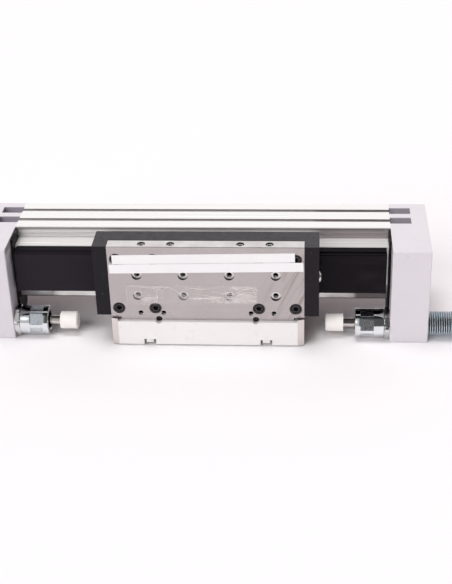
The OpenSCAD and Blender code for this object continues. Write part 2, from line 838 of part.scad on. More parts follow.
module left_stop_plate() {
  color([0.82, 0.80, 0.78]) slide() mirror([1, 0, 0]) stop_plate();
}

module right_stop_plate() {
  color([0.82, 0.80, 0.78]) slide() stop_plate();
}

module stop_plate_screws() {
  color([0.20, 0.20, 0.21])
    slide()
      both()
        for (y = stop_screw_y)
          translate([half_plate - 0.1, y, stop_screw_z])
            rotate([0, 90, 0]) flat_screw(m5_d, 15, m5_d + 2.8, 3);
}

// ---- guide carriages and covers ----

module guide_carriage() {
  x0 = carriage_x - carriage_length / 2;
  x1 = carriage_x + carriage_length / 2;
  difference() {
    run_x(x0, x1)
      difference() {
        polygon(chamfered(plate_back, carriage_back, carriage_low, carriage_top, 0.3));
        translate([rail_front - 0.5, rail_low - rail_gap])
          square([carriage_back, rail_height + 2 * rail_gap]);
        for (z = [rail_low, rail_top])
          translate([groove_y, z]) circle(r = ball_d / 2 + ball_fit, $fn = 48);
      }
    for (x = [-plate_screw_dx, plate_screw_dx], z = [-plate_screw_dz, plate_screw_dz])
      bar_y(3 + joint_fit, plate_back - 1, plate_back + 6.1, carriage_x + x, rail_z + z);
  }
}

module left_guide_carriage() {
  color([0.35, 0.34, 0.35]) slide() mirror([1, 0, 0]) guide_carriage();
}

module right_guide_carriage() {
  color([0.35, 0.34, 0.35]) slide() guide_carriage();
}

// Loaded ball rows above and below the rail.
module guide_balls() {
  color([0.85, 0.85, 0.85])
    slide()
      for (s = left_right, z = [rail_low, rail_top], i = [0 : balls_per_row - 1])
        translate([s * carriage_x + (i - (balls_per_row - 1) / 2) * (ball_d + 0.6), groove_y, z])
          sphere(d = ball_d, $fn = 32);
}

module carriage_spacer() {
  half = carriage_x - carriage_length / 2;
  color([0.15, 0.14, 0.16])
    slide()
      run_x(-half, half)
        difference() {
          polygon(chamfered(plate_back, cover_back, carriage_low, carriage_top, 0.3));
          translate([rail_front - 0.8, rail_low - 1])
            square([carriage_back, rail_height + 2]);
        }
}

module top_cover() {
  color([0.20, 0.19, 0.21])
    slide()
      run_x(-half_plate, half_plate)
        polygon([
          [plate_back, carriage_top], [cover_back, carriage_top],
          [cover_back, plate_top - 0.4], [cover_back - 0.4, plate_top], [plate_back, plate_top]
        ]);
}

module end_cover() {
  difference() {
    run_x(half_plate, cover_end)
      difference() {
        polygon(chamfered(cover_front, cover_back, cover_low, plate_top, 0.5));
        translate([rail_front - 0.8, rail_low - 1])
          square([cover_back, rail_height + 2]);
      }
    // Seat of the wiper.
    run_x(cover_end - wiper_t, cover_end + 1)
      translate([wiper_front, rail_low - wiper_wide]) square([cover_back, rail_height + 2 * wiper_wide]);
    for (z = cover_screw_z)
      bar_x(m4_d / 2 + 0.1, cover_end - m4_length - 1, cover_end + 1, cover_screw_y, z);
    bar_x(3, cover_end - 6, cover_end + 1, nipple_y, nipple_z);
  }
}

module left_end_cover() {
  color([0.15, 0.14, 0.17]) slide() mirror([1, 0, 0]) end_cover();
}

module right_end_cover() {
  color([0.15, 0.14, 0.17]) slide() end_cover();
}

module wiper() {
  run_x(cover_end - wiper_t, cover_end - 0.1)
    difference() {
      translate([wiper_front, rail_low - wiper_wide])
        square([cover_back - wiper_front, rail_height + 2 * wiper_wide]);
      polygon([
        [rail_front - wiper_fit, rail_low - wiper_fit + 0.8],
        [rail_front - wiper_fit + 0.8, rail_low - wiper_fit],
        [cover_back + 1, rail_low - wiper_fit], [cover_back + 1, rail_top + wiper_fit],
        [rail_front - wiper_fit + 0.8, rail_top + wiper_fit],
        [rail_front - wiper_fit, rail_top + wiper_fit - 0.8]
      ]);
    }
}

module left_wiper() {
  color([0.08, 0.08, 0.08]) slide() mirror([1, 0, 0]) wiper();
}

module right_wiper() {
  color([0.08, 0.08, 0.08]) slide() wiper();
}

module cover_screws() {
  color([0.30, 0.30, 0.31])
    slide()
      both()
        for (z = cover_screw_z)
          translate([cover_end, cover_screw_y, z])
            rotate([0, 90, 0]) cap_screw(m4_d, m4_length, m4_head, m4_head_h, 2.5);
}

// Grease nipple on the right cover and a flush screw plug in the left one.
module grease_nipples() {
  color([0.80, 0.79, 0.76])
    slide() {
      bar_x(3 - joint_fit, cover_end - 5, cover_end + 0.5, nipple_y, nipple_z);
      translate([cover_end, nipple_y, nipple_z])
        rotate([0, 90, 0])
          rotate_extrude($fn = 64)
            polygon([[0, 0], [nipple_r, 0], [nipple_r, 0.6], [nipple_r - 0.6, 1.4],
                     [nipple_r - 1.8, 2], [1.4, 2.3], [1.2, 1.5], [0, 1.5]]);
      difference() {
        bar_x(3 - joint_fit, -cover_end + 0.3, -cover_end + 5, nipple_y, nipple_z);
        translate([-cover_end - 1, nipple_y, nipple_z])
          rotate([0, 90, 0]) cylinder(d = 3 / cos(30), h = 3.5, $fn = 6);
      }
    }
}

// ---- piston assembly ----

module piston_yoke() {
  color([0.76, 0.76, 0.77])
    slide()
      difference() {
        union() {
          difference() {
            bar_x(yoke_r, -yoke_half, yoke_half, bore_y, bore_z);
            // Groove for the raised inner band.
            run_y(bore_y - inner_band_w / 2 - 0.5, bore_y + inner_band_w / 2 + 0.5)
              polygon([
                [-hump_foot - 3, seat_z], [-hump_flat - 0.6, seat_z + inner_hump + inner_band_t + 0.7],
                [hump_flat + 0.6, seat_z + inner_hump + inner_band_t + 0.7], [hump_foot + 3, seat_z]
              ]);
          }
          intersection() {
            bar_x(yoke_r, -neck_half, neck_half, bore_y, bore_z);
            box(-neck_half, neck_half, bore_y - band_flat, bore_y + band_flat,
                seat_z, seat_z + inner_hump - 0.5);
          }
          box(-neck_half, neck_half, bore_y - neck_t / 2, bore_y + neck_t / 2, foot_top - 1, seat_z + 4);
          box(-foot_half, foot_half, bore_y - foot_dy, bore_y + foot_dy, foot_low, foot_top);
        }
        for (s = left_right)
          bar_z(m5_d / 2 + joint_fit, foot_low - 1, foot_top + 0.2, 0, bore_y + s * yoke_screw_dy);
        both()
          bar_x(journal_r + joint_fit, yoke_half - journal_l, yoke_half + 1, bore_y, bore_z);
      }
}

module piston() {
  difference() {
    union() {
      bar_x(yoke_r, yoke_half, piston_reach, bore_y, bore_z);
      bar_x(journal_r, yoke_half - journal_l + 0.2, yoke_half + 1, bore_y, bore_z);
    }
    tube_x(bore_r + 1, seal_in, piston_reach - 6, piston_reach - 2, bore_y, bore_z);
    tube_x(bore_r + 1, guide_in, piston_reach - 12, piston_reach - 8, bore_y, bore_z);
    tube_x(bore_r + 1, magnet_in, piston_reach - 18, piston_reach - 14, bore_y, bore_z);
    bar_x(7, piston_reach - 4, piston_reach + 1, bore_y, bore_z);
  }
}

module left_piston() {
  color([0.30, 0.30, 0.32]) slide() mirror([1, 0, 0]) piston();
}

module right_piston() {
  color([0.30, 0.30, 0.32]) slide() piston();
}

// Ring that runs in the bore, flattened over the band.
module bore_ring(r_in, x0, x1) {
  difference() {
    tube_x(bore_r - piston_fit, r_in, x0, x1, bore_y, bore_z);
    box(x0 - 1, x1 + 1, bore_y - band_flat, bore_y + band_flat, bore_z - bore_r - 1, band_top + 0.1);
  }
}

module piston_seals() {
  color([0.12, 0.12, 0.12]) slide() both() bore_ring(seal_in, piston_reach - 6, piston_reach - 2);
}

module piston_rings() {
  color([0.55, 0.45, 0.32]) slide() both() bore_ring(guide_in, piston_reach - 12, piston_reach - 8);
}

module piston_magnets() {
  color([0.30, 0.29, 0.28])
    slide()
      both()
        tube_x(yoke_r, magnet_in, piston_reach - 18, piston_reach - 14, bore_y, bore_z);
}

barrel_profile();
left_end_cap();
right_end_cap();
left_cap_gasket();
right_cap_gasket();
end_cap_screws();
spigot_rings();
band_clamps();
clamp_screws();
port_plugs();
guide_rail();
rail_screws();
rail_cover_strip();
outer_cover_band();
inner_seal_band();
left_shock_body();
right_shock_body();
left_stop_sleeve();
right_stop_sleeve();
left_lock_nut();
right_lock_nut();
left_rod();
right_rod();
left_buffer();
right_buffer();
slide_plate();
plate_screws();
parting_pins();
driver_block();
driver_screws();
driver_inserts();
left_stop_plate();
right_stop_plate();
stop_plate_screws();
left_guide_carriage();
right_guide_carriage();
guide_balls();
carriage_spacer();
top_cover();
left_end_cover();
right_end_cover();
left_wiper();
right_wiper();
cover_screws();
grease_nipples();
piston_yoke();
yoke_screws();
left_piston();
right_piston();
piston_seals();
piston_rings();
piston_magnets();
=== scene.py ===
"""Looks of the rodless pneumatic cylinder: camera, studio, finishes and surface detail.

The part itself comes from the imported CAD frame. Metres, in the row frame: X is the stroke, +Z is
up, the slide plate faces -Y.
"""

import json
import math

import bpy
from mathutils import Matrix, Vector, noise

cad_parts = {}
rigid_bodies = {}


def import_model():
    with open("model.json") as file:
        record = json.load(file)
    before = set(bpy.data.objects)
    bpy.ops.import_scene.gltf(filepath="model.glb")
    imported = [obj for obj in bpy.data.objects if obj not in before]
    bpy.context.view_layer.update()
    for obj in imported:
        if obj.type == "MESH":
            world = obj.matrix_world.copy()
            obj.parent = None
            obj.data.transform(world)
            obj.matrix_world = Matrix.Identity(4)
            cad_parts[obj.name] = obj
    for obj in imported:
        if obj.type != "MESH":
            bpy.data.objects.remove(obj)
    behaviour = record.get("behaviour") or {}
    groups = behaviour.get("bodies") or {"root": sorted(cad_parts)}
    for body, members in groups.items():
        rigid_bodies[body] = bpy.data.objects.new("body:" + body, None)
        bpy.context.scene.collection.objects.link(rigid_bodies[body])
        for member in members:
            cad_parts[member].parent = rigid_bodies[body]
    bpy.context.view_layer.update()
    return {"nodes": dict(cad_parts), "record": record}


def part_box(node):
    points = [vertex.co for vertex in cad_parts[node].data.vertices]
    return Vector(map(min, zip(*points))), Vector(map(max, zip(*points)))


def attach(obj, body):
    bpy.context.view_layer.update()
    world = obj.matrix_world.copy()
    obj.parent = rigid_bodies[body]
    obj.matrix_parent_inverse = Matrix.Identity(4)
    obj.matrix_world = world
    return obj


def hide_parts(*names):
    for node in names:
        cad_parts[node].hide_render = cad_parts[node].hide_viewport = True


MM = 0.001

# ---- camera ----

CAMERA_PLACE = (0.10291, -0.98113, 0.58255)
# Tilt down, turn to the left and roll, in degrees
CAMERA_ANGLES = (29.50, 4.80, -1.92)
# In millimetres
FOCAL_LENGTH = 99.143
SENSOR_WIDTH = 36


def placed(name, data):
    """A new object in the scene."""
    made = bpy.data.objects.new(name, data)
    bpy.context.scene.collection.objects.link(made)
    return made


def make_camera():
    """The camera of the picture: its place, its three angles and a long lens."""
    pitch, yaw, roll = (math.radians(a) for a in CAMERA_ANGLES)
    forward = Vector((-math.sin(yaw) * math.cos(pitch), math.cos(yaw) * math.cos(pitch), -math.sin(pitch)))
    level = Vector((math.cos(yaw), math.sin(yaw), 0))
    upright = level.cross(forward)
    right = level * math.cos(roll) + upright * math.sin(roll)
    up = upright * math.cos(roll) - level * math.sin(roll)
    data = bpy.data.cameras.new("camera")
    data.lens = FOCAL_LENGTH
    data.sensor_width = SENSOR_WIDTH
    data.sensor_fit = "HORIZONTAL"
    camera = placed("camera", data)
    turn = Matrix((right, up, -forward)).transposed().to_4x4()
    camera.matrix_world = Matrix.Translation(CAMERA_PLACE) @ turn
    bpy.context.scene.camera = camera


for thing in list(bpy.data.objects):
    bpy.data.objects.remove(thing)
make_camera()
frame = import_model()
nodes = frame["nodes"]

# ---- node helpers ----


class Graph:
    """Short ways to build a tree of shader nodes."""

    def __init__(self, tree):
        self.tree = tree

    def node(self, kind, **inputs):
        """A new node. Its inputs are given by name, or by place as _0, _1 and so on."""
        made = self.tree.nodes.new(kind)
        for key, value in inputs.items():
            self.set(made.inputs[int(key[1:]) if key[0] == "_" else key.replace("_", " ")], value)
        return made

    def set(self, socket, value):
        """Links a socket to another one, or gives it a value."""
        if isinstance(value, bpy.types.NodeSocket):
            self.tree.links.new(value, socket)
        else:
            socket.default_value = value

    def math(self, how, a, b=0.0):
        """One step of arithmetic."""
        made = self.node("ShaderNodeMath", _0=a, _1=b)
        made.operation = how
        return made.outputs[0]


class Finish(Graph):
    """One procedural material, built round a Principled shader. Sizes of patterns are in millimetres."""

    def __init__(self, name, base, rough, metal=0.0):
        self.material = bpy.data.materials.new(name)
        self.material.use_nodes = True
        super().__init__(self.material.node_tree)
        self.shader = self.tree.nodes["Principled BSDF"]
        self.shader.inputs["Base Color"].default_value = (*base, 1)
        self.shader.inputs["Roughness"].default_value = rough
        self.shader.inputs["Metallic"].default_value = metal
        self.base = base
        self.colour = (*base, 1)
        self.height = None
        self.place = self.node("ShaderNodeTexCoord").outputs["Object"]
        self.normal = self.node("ShaderNodeNewGeometry").outputs["Normal"]

    def noise(self, size, detail=4.0, stretch=(1, 1, 1), turn=(0, 0, 0), low=0.3, high=0.7, shift=0.0):
        """A field from 0 to 1 with features about size mm wide, longer along axes with more stretch."""
        turned = self.node("ShaderNodeMapping", Vector=self.place, Rotation=turn)
        mapping = self.node("ShaderNodeMapping", Vector=turned.outputs[0])
        mapping.inputs["Location"].default_value = (shift, shift, shift)
        mapping.inputs["Scale"].default_value = tuple(1 / s for s in stretch)
        field = self.node("ShaderNodeTexNoise", Vector=mapping.outputs[0], Scale=1000 / size, Detail=detail)
        return self.span(field.outputs["Fac"], low, high)

    def span(self, value, low, high, out_low=0.0, out_high=1.0):
        """Maps low to out_low and high to out_high, and stays level beyond both."""
        made = self.node("ShaderNodeMapRange", _0=value, _1=low, _2=high, _3=out_low, _4=out_high)
        made.clamp = True
        return made.outputs[0]

    def axis(self, letter, vector=None):
        """One coordinate of the place on the part, or of another vector."""
        split = self.node("ShaderNodeSeparateXYZ", _0=vector or self.place)
        return split.outputs["XYZ".index(letter)]

    def inside(self, value, low, high, margin):
        """1 where the value lies between low and high, 0 outside, with a soft margin inside both."""
        return self.product(self.span(value, low, low + margin), self.span(value, high, high - margin))

    def product(self, *masks):
        """1 only where every mask is 1."""
        result = masks[0]
        for mask in masks[1:]:
            result = self.math("MULTIPLY", result, mask)
        return result

    def upward(self):
        """1 on faces that look up, 0 on upright ones."""
        return self.span(self.axis("Z", self.normal), 0.3, 0.9)

    def edges(self, radius, colour, amount):
        """Mixes a colour in along edges, where a bevel of the radius in mm would turn the surface."""
        bevel = self.node("ShaderNodeBevel", Radius=radius * MM)
        bevel.samples = 4
        turn = self.node("ShaderNodeVectorMath", _0=bevel.outputs[0], _1=self.normal)
        turn.operation = "DOT_PRODUCT"
        self.shade(self.span(turn.outputs["Value"], 0.999, 0.93), colour, amount)

    def gloss(self, level):
        """Strength of the clear reflection on a finish that isn't metal."""
        self.shader.inputs["Specular IOR Level"].default_value = level

    def shade(self, mask, colour, amount=1.0):
        """Mixes a colour in where the mask is 1."""
        mix = self.tree.nodes.new("ShaderNodeMix")
        mix.data_type = "RGBA"
        # A mix of colours has its two inputs at places 6 and 7 and its output at place 2
        self.set(mix.inputs[0], self.math("MULTIPLY", mask, amount))
        self.set(mix.inputs[6], self.colour)
        self.set(mix.inputs[7], (*colour, 1))
        self.colour = mix.outputs[2]
        self.set(self.shader.inputs["Base Color"], self.colour)

    def vary(self, size, spread, stretch=(1, 1, 1), detail=4.0, warm=0.0):
        """Patches darker than the base colour, and yellower where warm is more than 0."""
        field = self.noise(size, detail, stretch)
        dark = tuple(max(0.0, c * (1 - spread * (1 + warm * k))) for c, k in zip(self.base, (0, 0.5, 1)))
        self.shade(field, dark)

    def roughen(self, size, low, high, stretch=(1, 1, 1)):
        """Roughness from low to high in patches."""
        field = self.noise(size, 3.0, stretch, shift=0.37)
        self.set(self.shader.inputs["Roughness"], self.span(field, 0, 1, low, high))

    def relief(self, size, depth, stretch=(1, 1, 1)):
        """Bumps about size mm wide and depth mm high."""
        field = self.noise(size, 3.0, stretch, low=0.2, high=0.8, shift=0.71)
        self.height = self.math("MULTIPLY", field, depth * MM)

    def done(self):
        """The material, with its bumps if it has any."""
        if self.height:
            bump = self.node("ShaderNodeBump", Strength=1.0, Distance=1.0, Height=self.height)
            self.set(self.shader.inputs["Normal"], bump.outputs[0])
        return self.material


def dress(material, *names):
    """Gives nodes of the frame their material."""
    for name in names:
        mesh = nodes[name].data
        mesh.materials.clear()
        mesh.materials.append(material)


# ---- finishes ----


def barrel_finish():
    """Clear-anodised extrusion with fine lines along the stroke, and painted shade on some of its faces."""
    f = Finish("anodised_barrel", (0.935, 0.925, 0.915), 0.24, 0.62)
    low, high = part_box("barrel_profile")
    rail_low, rail_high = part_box("guide_rail")
    cover_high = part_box("right_end_cover")[1]
    f.vary(60, 0.03, (6, 1, 1), warm=0.4)
    f.shade(f.noise(1.1, 2.0, (400, 1, 1), low=0.5, high=0.75), (0.80, 0.78, 0.76), 0.07)
    f.shade(f.noise(3.5, 4.0, (1, 1, 1), low=0.68, high=0.75), (0.66, 0.64, 0.61), 0.30)
    facing = f.span(f.axis("Y", f.normal), -0.7, -0.9)
    # Painted shade on the upright face of the step: under its lip, in the corner behind the rail, and to the
    # right of the slide
    step = f.span(f.axis("Z"), rail_high.z + 0.3 * MM, rail_high.z + 0.8 * MM)
    beyond = f.span(f.axis("X"), cover_high.x - 8 * MM, cover_high.x + 2 * MM)
    under_lip = f.span(f.axis("Z"), high.z - 3.0 * MM, high.z - 0.8 * MM)
    in_corner = f.span(f.axis("Z"), rail_high.z + 3.2 * MM, rail_high.z + 0.6 * MM)
    f.shade(f.product(step, facing, under_lip), (0.30, 0.27, 0.27), 0.8)
    f.shade(f.product(step, facing, in_corner), (0.42, 0.38, 0.37), 0.8)
    f.shade(f.product(step, beyond, facing), (0.34, 0.30, 0.30), 0.85)
    # Painted shade on the face below the rail, darkest to the right of the slide, and on the underside
    foot = f.span(f.axis("Z"), rail_low.z + 1 * MM, rail_low.z)
    painted_shade = f.span(f.axis("X"), cover_high.x + 8 * MM, cover_high.x + 34 * MM, 0.18, 1.0)
    f.shade(f.product(foot, painted_shade, facing), (0.36, 0.31, 0.31), 0.8)
    f.shade(f.span(f.axis("Z"), low.z + 1.5 * MM, low.z + 1.1 * MM), (0.05, 0.045, 0.045), 0.9)
    f.roughen(2.0, 0.20, 0.28, (200, 1, 1))
    # The top of the ledge behind the rail mirrors less
    ledge = f.product(f.upward(), f.span(f.axis("Z"), rail_high.z + 0.6 * MM, rail_high.z + 0.3 * MM))
    f.set(f.shader.inputs["Metallic"], f.span(ledge, 0, 1, 0.62, 0.30))
    return f.done()


def cap_finish():
    """Cast end caps, blasted and coated in a cool pale grey, with painted shade in the pockets and on the
    inner faces, and painted highlights on the edges.
    """
    f = Finish("cap_coating", (0.775, 0.748, 0.79), 0.52, 0.10)
    f.vary(35, 0.03, detail=5.0)
    f.shade(f.noise(0.7, 2.0, low=0.55, high=0.8), (0.64, 0.62, 0.66), 0.35)
    f.shade(f.noise(9, 6.0, low=0.70, high=0.76), (0.58, 0.56, 0.57), 0.30)
    low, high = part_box("left_end_cap")
    # Painted shade in the pockets at the top, away from the cap's front, back and outer face
    deep = f.span(f.axis("Z"), high.z - 0.2 * MM, high.z - 0.9 * MM)
    above = f.span(f.axis("Z"), high.z - 7 * MM, high.z - 6 * MM)
    across = f.inside(f.axis("Y"), low.y + 2 * MM, high.y - 2 * MM, 0.5 * MM)
    outward = f.math("ABSOLUTE", f.axis("X"))
    along = f.inside(outward, abs(high.x) + 0.2 * MM, abs(low.x) - 2 * MM, 0.2 * MM)
    f.shade(f.product(deep, above, across, along), (0.27, 0.245, 0.30), 0.7)
    # Painted shade, in streaks, on the faces towards the barrel
    sideways = f.span(f.math("ABSOLUTE", f.axis("X", f.normal)), 0.85, 0.95)
    joint = f.span(outward, abs(high.x) + 9 * MM, abs(high.x) + 8 * MM)
    shade_streaks = f.noise(4, 6.0, (1, 1, 3.5), low=0.42, high=0.60)
    f.shade(f.product(sideways, joint, f.span(shade_streaks, 0, 1, 0.55, 1.0)), (0.13, 0.12, 0.14), 0.95)
    # Painted highlights along the edges
    f.edges(0.5, (0.90, 0.88, 0.91), 0.5)
    f.roughen(6, 0.44, 0.60)
    f.relief(0.6, 0.008)
    return f.done()


def rubber_finish(name, bloom=0.5):
    """Black rubber with a grey bloom."""
    f = Finish(name, (0.006, 0.005, 0.007), 0.62)
    f.gloss(0.2)
    f.vary(12, 0.3)
    f.shade(f.noise(4.5, 5.0, (1, 2.2, 1), low=0.52, high=0.72), (0.12, 0.11, 0.115), bloom)
    f.roughen(3, 0.45, 0.75)
    f.relief(2.2, 0.10)
    return f.done()


def steel_finish(name, base, rough, size=1.2, stretch=(1, 1, 1), spread=0.12, depth=0.003, spots=0.0,
                 painted_shade=0.0):
    """Turned, ground or polished metal with tool marks along the stretch.

    Spots are the strength of its rust spots, and the last argument is how strongly shade is painted on its
    top.
    """
    f = Finish(name, base, rough, 1.0)
    f.vary(14, spread, warm=0.3)
    f.shade(f.noise(size, 3.0, stretch, low=0.5, high=0.8), tuple(c * 0.75 for c in base), 0.4)
    if spots:
        f.shade(f.noise(1.6, 4.0, low=0.68, high=0.72), (0.12, 0.09, 0.07), spots)
    # Painted shade on the faces that look up
    if painted_shade:
        f.shade(f.span(f.axis("Z", f.normal), 0.88, 0.95), (0.03, 0.03, 0.035), painted_shade)
    f.roughen(size * 1.5, max(0.05, rough - 0.07), rough + 0.08, stretch)
    f.relief(size * 0.7, depth, stretch)
    return f.done()


def driver_finish():
    """Milled and clear-anodised aluminium with a few marks and painted highlights along its edges."""
    f = Finish("bright_aluminium", (0.950, 0.935, 0.928), 0.38, 0.22)
    f.vary(40, 0.03, warm=0.3)
    f.shade(f.noise(6, 5.0, low=0.62, high=0.76), (0.72, 0.69, 0.67), 0.30)
    f.shade(f.noise(1.4, 3.0, low=0.70, high=0.76), (0.45, 0.42, 0.40), 0.30)
    # Painted highlights along the edges
    f.edges(0.3, (0.97, 0.96, 0.96), 0.6)
    f.roughen(5, 0.30, 0.42)
    f.relief(1.0, 0.003)
    return f.done()


def plate_finish():
    """Ground steel slide with painted highlights along its edges.

    A thin brownish film of old oil dulls its face and is smeared towards the right, and painted shade
    darkens the holes.
    """
    f = Finish("ground_steel", (0.83, 0.80, 0.80), 0.34, 1.0)
    f.vary(26, 0.05, warm=0.4, detail=6.0)
    low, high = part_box("slide_plate")
    facing = f.span(f.axis("Y", f.normal), -0.7, -0.9)
    skin = f.span(f.axis("Y"), low.y + 0.6 * MM, low.y + 0.4 * MM)
    f.shade(f.product(facing, skin), (0.520, 0.482, 0.480), 1.0)
    f.shade(f.noise(14, 6.0, (1, 1, 3.0), low=0.35, high=0.7), (0.475, 0.425, 0.420), 0.45)
    f.shade(f.noise(0.8, 2.0, (260, 1, 1), low=0.45, high=0.8), (0.46, 0.42, 0.41), 0.22)
    f.shade(f.noise(3.2, 6.0, low=0.60, high=0.74), (0.66, 0.62, 0.60), 0.35)
    smear = f.noise(3.2, 4.0, (1, 1, 16), turn=(0, math.radians(-26), 0), low=0.50, high=0.72)
    right = f.span(f.axis("X"), 45 * MM, 75 * MM)
    f.shade(f.product(smear, right, skin), (0.30, 0.24, 0.19), 0.6)
    f.shade(f.noise(1.0, 3.0, low=0.72, high=0.76), (0.16, 0.12, 0.09), 0.6)
    # Painted highlights along the edges
    f.edges(0.35, (0.90, 0.88, 0.87), 0.6)
    # Painted shade on the walls and the bottoms of the holes, but not on the plate's own edges
    within = f.product(f.inside(f.axis("X"), low.x, high.x, 1 * MM),
                       f.inside(f.axis("Z"), low.z, high.z, 0.6 * MM))
    core = f.span(f.axis("Y"), low.y + 2.3 * MM, low.y + 2.5 * MM)
    wall = f.product(f.span(f.axis("Y"), low.y + 0.25 * MM, low.y + 0.45 * MM), f.span(facing, 1.0, 0.0))
    f.shade(f.product(within, wall), (0.03, 0.027, 0.027), 1.0)
    f.shade(f.product(within, core), (0.008, 0.007, 0.008), 1.0)
    f.roughen(1.4, 0.28, 0.42, (120, 1, 1))
    f.relief(0.7, 0.002, (200, 1, 1))
    return f.done()


def black_finish(name, base, rough, metal=0.0, depth=0.006, dust=0.12, gloss=0.22, edge_highlight=0.0):
    """Black steel or plastic with a little dust, most of it on top. The last argument sets how strong a
    highlight is painted along its edges.
    """
    f = Finish(name, base, rough, metal)
    f.gloss(gloss)
    f.vary(22, 0.18, detail=5.0)
    settled = f.math("MULTIPLY", f.upward(), f.noise(30, 6.0, low=0.1, high=0.5))
    f.shade(settled, (0.070, 0.064, 0.068), dust * 3)
    f.shade(f.noise(5, 6.0, low=0.60, high=0.82), tuple(c * 1.8 + 0.006 for c in base), dust * 2)
    f.shade(f.noise(1.3, 2.0, low=0.765, high=0.785), (0.50, 0.46, 0.46), min(1.0, dust * 5))
    # Painted highlights along the edges
    if edge_highlight:
        f.edges(0.55, (0.42, 0.40, 0.41), edge_highlight)
    f.roughen(4, rough - 0.08, rough + 0.10)
    f.relief(0.8, depth)
    return f.done()


def rail_finish():
    """Black-finished rail, with painted light towards the left end, and matt with painted shade on top."""
    f = Finish("rail_black", (0.007, 0.005, 0.008), 0.22)
    f.gloss(0.09)
    f.vary(22, 0.18, detail=5.0)
    # Painted light, growing towards the left end
    left = f.span(f.axis("X"), 0.0, -120 * MM)
    f.shade(left, (0.024, 0.019, 0.026), 0.8)
    f.shade(f.noise(14, 6.0, (3, 1, 1), low=0.5, high=0.8), (0.030, 0.024, 0.028), 0.35)
    f.shade(f.noise(0.9, 2.0, low=0.77, high=0.80), (0.30, 0.28, 0.28), 0.10)
    # Painted shade on the faces that look up
    f.shade(f.upward(), (0.004, 0.003, 0.004), 0.9)
    f.set(f.shader.inputs["Roughness"], f.span(f.upward(), 0, 1, 0.22, 0.6))
    f.relief(0.8, 0.001)
    return f.done()


def plastic_finish(name, base, rough, spread=0.05):
    """Plain moulded or machined plastic."""
    f = Finish(name, base, rough)
    f.vary(7, spread, warm=0.8)
    f.shade(f.noise(1.8, 5.0, low=0.66, high=0.76), tuple(c * 0.72 for c in base), 0.35)
    f.roughen(2.5, rough - 0.06, rough + 0.08)
    f.relief(1.2, 0.006)
    return f.done()


def zinc_finish():
    """Bright zinc plating with a cool, slightly blue passivation, and painted shade in the roots of the
    thread.
    """
    f = Finish("zinc_thread", (0.74, 0.82, 0.87), 0.22, 0.8)
    f.vary(9, 0.14)
    f.shade(f.noise(9, 2.0, low=0.5, high=0.62), (0.50, 0.72, 0.84), 0.55)
    f.shade(f.noise(2.2, 4.0, low=0.64, high=0.74), (0.42, 0.40, 0.36), 0.4)
    low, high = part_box("right_shock_body")
    across = f.math("SUBTRACT", f.axis("Y"), (low.y + high.y) / 2)
    above = f.math("SUBTRACT", f.axis("Z"), (low.z + high.z) / 2)
    far = f.math("SQRT", f.math("ADD", f.product(across, across), f.product(above, above)))
    radius = (high.z - low.z) / 2
    root = f.span(far, radius - 0.35 * MM, radius - 0.75 * MM)
    # Painted shade in the roots of the thread, weaker where they face the lamp or the floor
    side_on = f.inside(f.axis("Z", f.normal), -0.45, 0.85, 0.25)
    f.shade(f.product(root, f.span(side_on, 0, 1, 0.15, 1.0)), (0.015, 0.013, 0.02), 0.97)
    f.roughen(2.0, 0.18, 0.28)
    f.relief(0.9, 0.002)
    return f.done()


# The screws have painted highlights along their edges
black_screw = black_finish("black_screw", (0.028, 0.025, 0.028), 0.24, 0.85, 0.004, 0.06, 0.5, 0.7)
dress(barrel_finish(), "barrel_profile")
dress(cap_finish(), "left_end_cap", "right_end_cap")
dress(rubber_finish("gasket"), "left_cap_gasket", "right_cap_gasket")
dress(rubber_finish("wiper_rubber", 0.2), "left_wiper", "right_wiper")
dress(rubber_finish("ring_rubber", 0.1), "spigot_rings", "piston_seals")
dress(black_screw, "end_cap_screws", "clamp_screws", "rail_screws", "plate_screws", "driver_screws",
      "yoke_screws", "stop_plate_screws", "parting_pins")
dress(steel_finish("clamp_aluminium", (0.72, 0.72, 0.73), 0.34, 1.0, (1, 60, 1)), "band_clamps")
dress(steel_finish("plug_brass", (0.60, 0.53, 0.36), 0.30), "port_plugs")
dress(rail_finish(), "guide_rail", "rail_cover_strip")
dress(steel_finish("band_steel", (0.74, 0.74, 0.74), 0.24, 0.8, (200, 1, 1)), "outer_cover_band")
dress(plastic_finish("band_plastic", (0.40, 0.33, 0.22), 0.40), "inner_seal_band")
# The sleeves get painted shade on their tops
sleeve_steel = steel_finish("sleeve_steel", (0.84, 0.87, 0.90), 0.10, 0.6, (1, 8, 8), 0.08, painted_shade=0.85)
dress(sleeve_steel, "left_stop_sleeve", "right_stop_sleeve", "left_lock_nut", "right_lock_nut")
dress(steel_finish("rod_steel", (0.62, 0.59, 0.57), 0.07, 0.8, (1, 30, 30), 0.06), "left_rod", "right_rod")
dress(plastic_finish("buffer_plastic", (0.985, 0.965, 0.94), 0.42, 0.03), "left_buffer", "right_buffer")
dress(plate_finish(), "slide_plate")
dress(driver_finish(), "driver_block")
dress(steel_finish("insert_aluminium", (0.90, 0.90, 0.89), 0.30, 0.8, (60, 1, 1), 0.05), "driver_inserts")
dress(steel_finish("hardened_steel", (0.81, 0.75, 0.73), 0.32, 0.9, (1, 1, 120), 0.08, spots=0.3),
      "left_stop_plate", "right_stop_plate")
dress(steel_finish("carriage_steel", (0.34, 0.33, 0.34), 0.34, 1.0, (80, 1, 1)), "left_guide_carriage",
      "right_guide_carriage")
dress(steel_finish("ball_steel", (0.80, 0.80, 0.80), 0.08, 0.6, spread=0.03, depth=0.0005), "guide_balls")
dress(black_finish("cover_plastic", (0.0095, 0.0075, 0.0115), 0.40, 0.0, 0.006, 0.14), "carriage_spacer",
      "left_end_cover", "right_end_cover", "top_cover")
dress(steel_finish("small_steel", (0.30, 0.30, 0.31), 0.30, 0.8), "cover_screws")
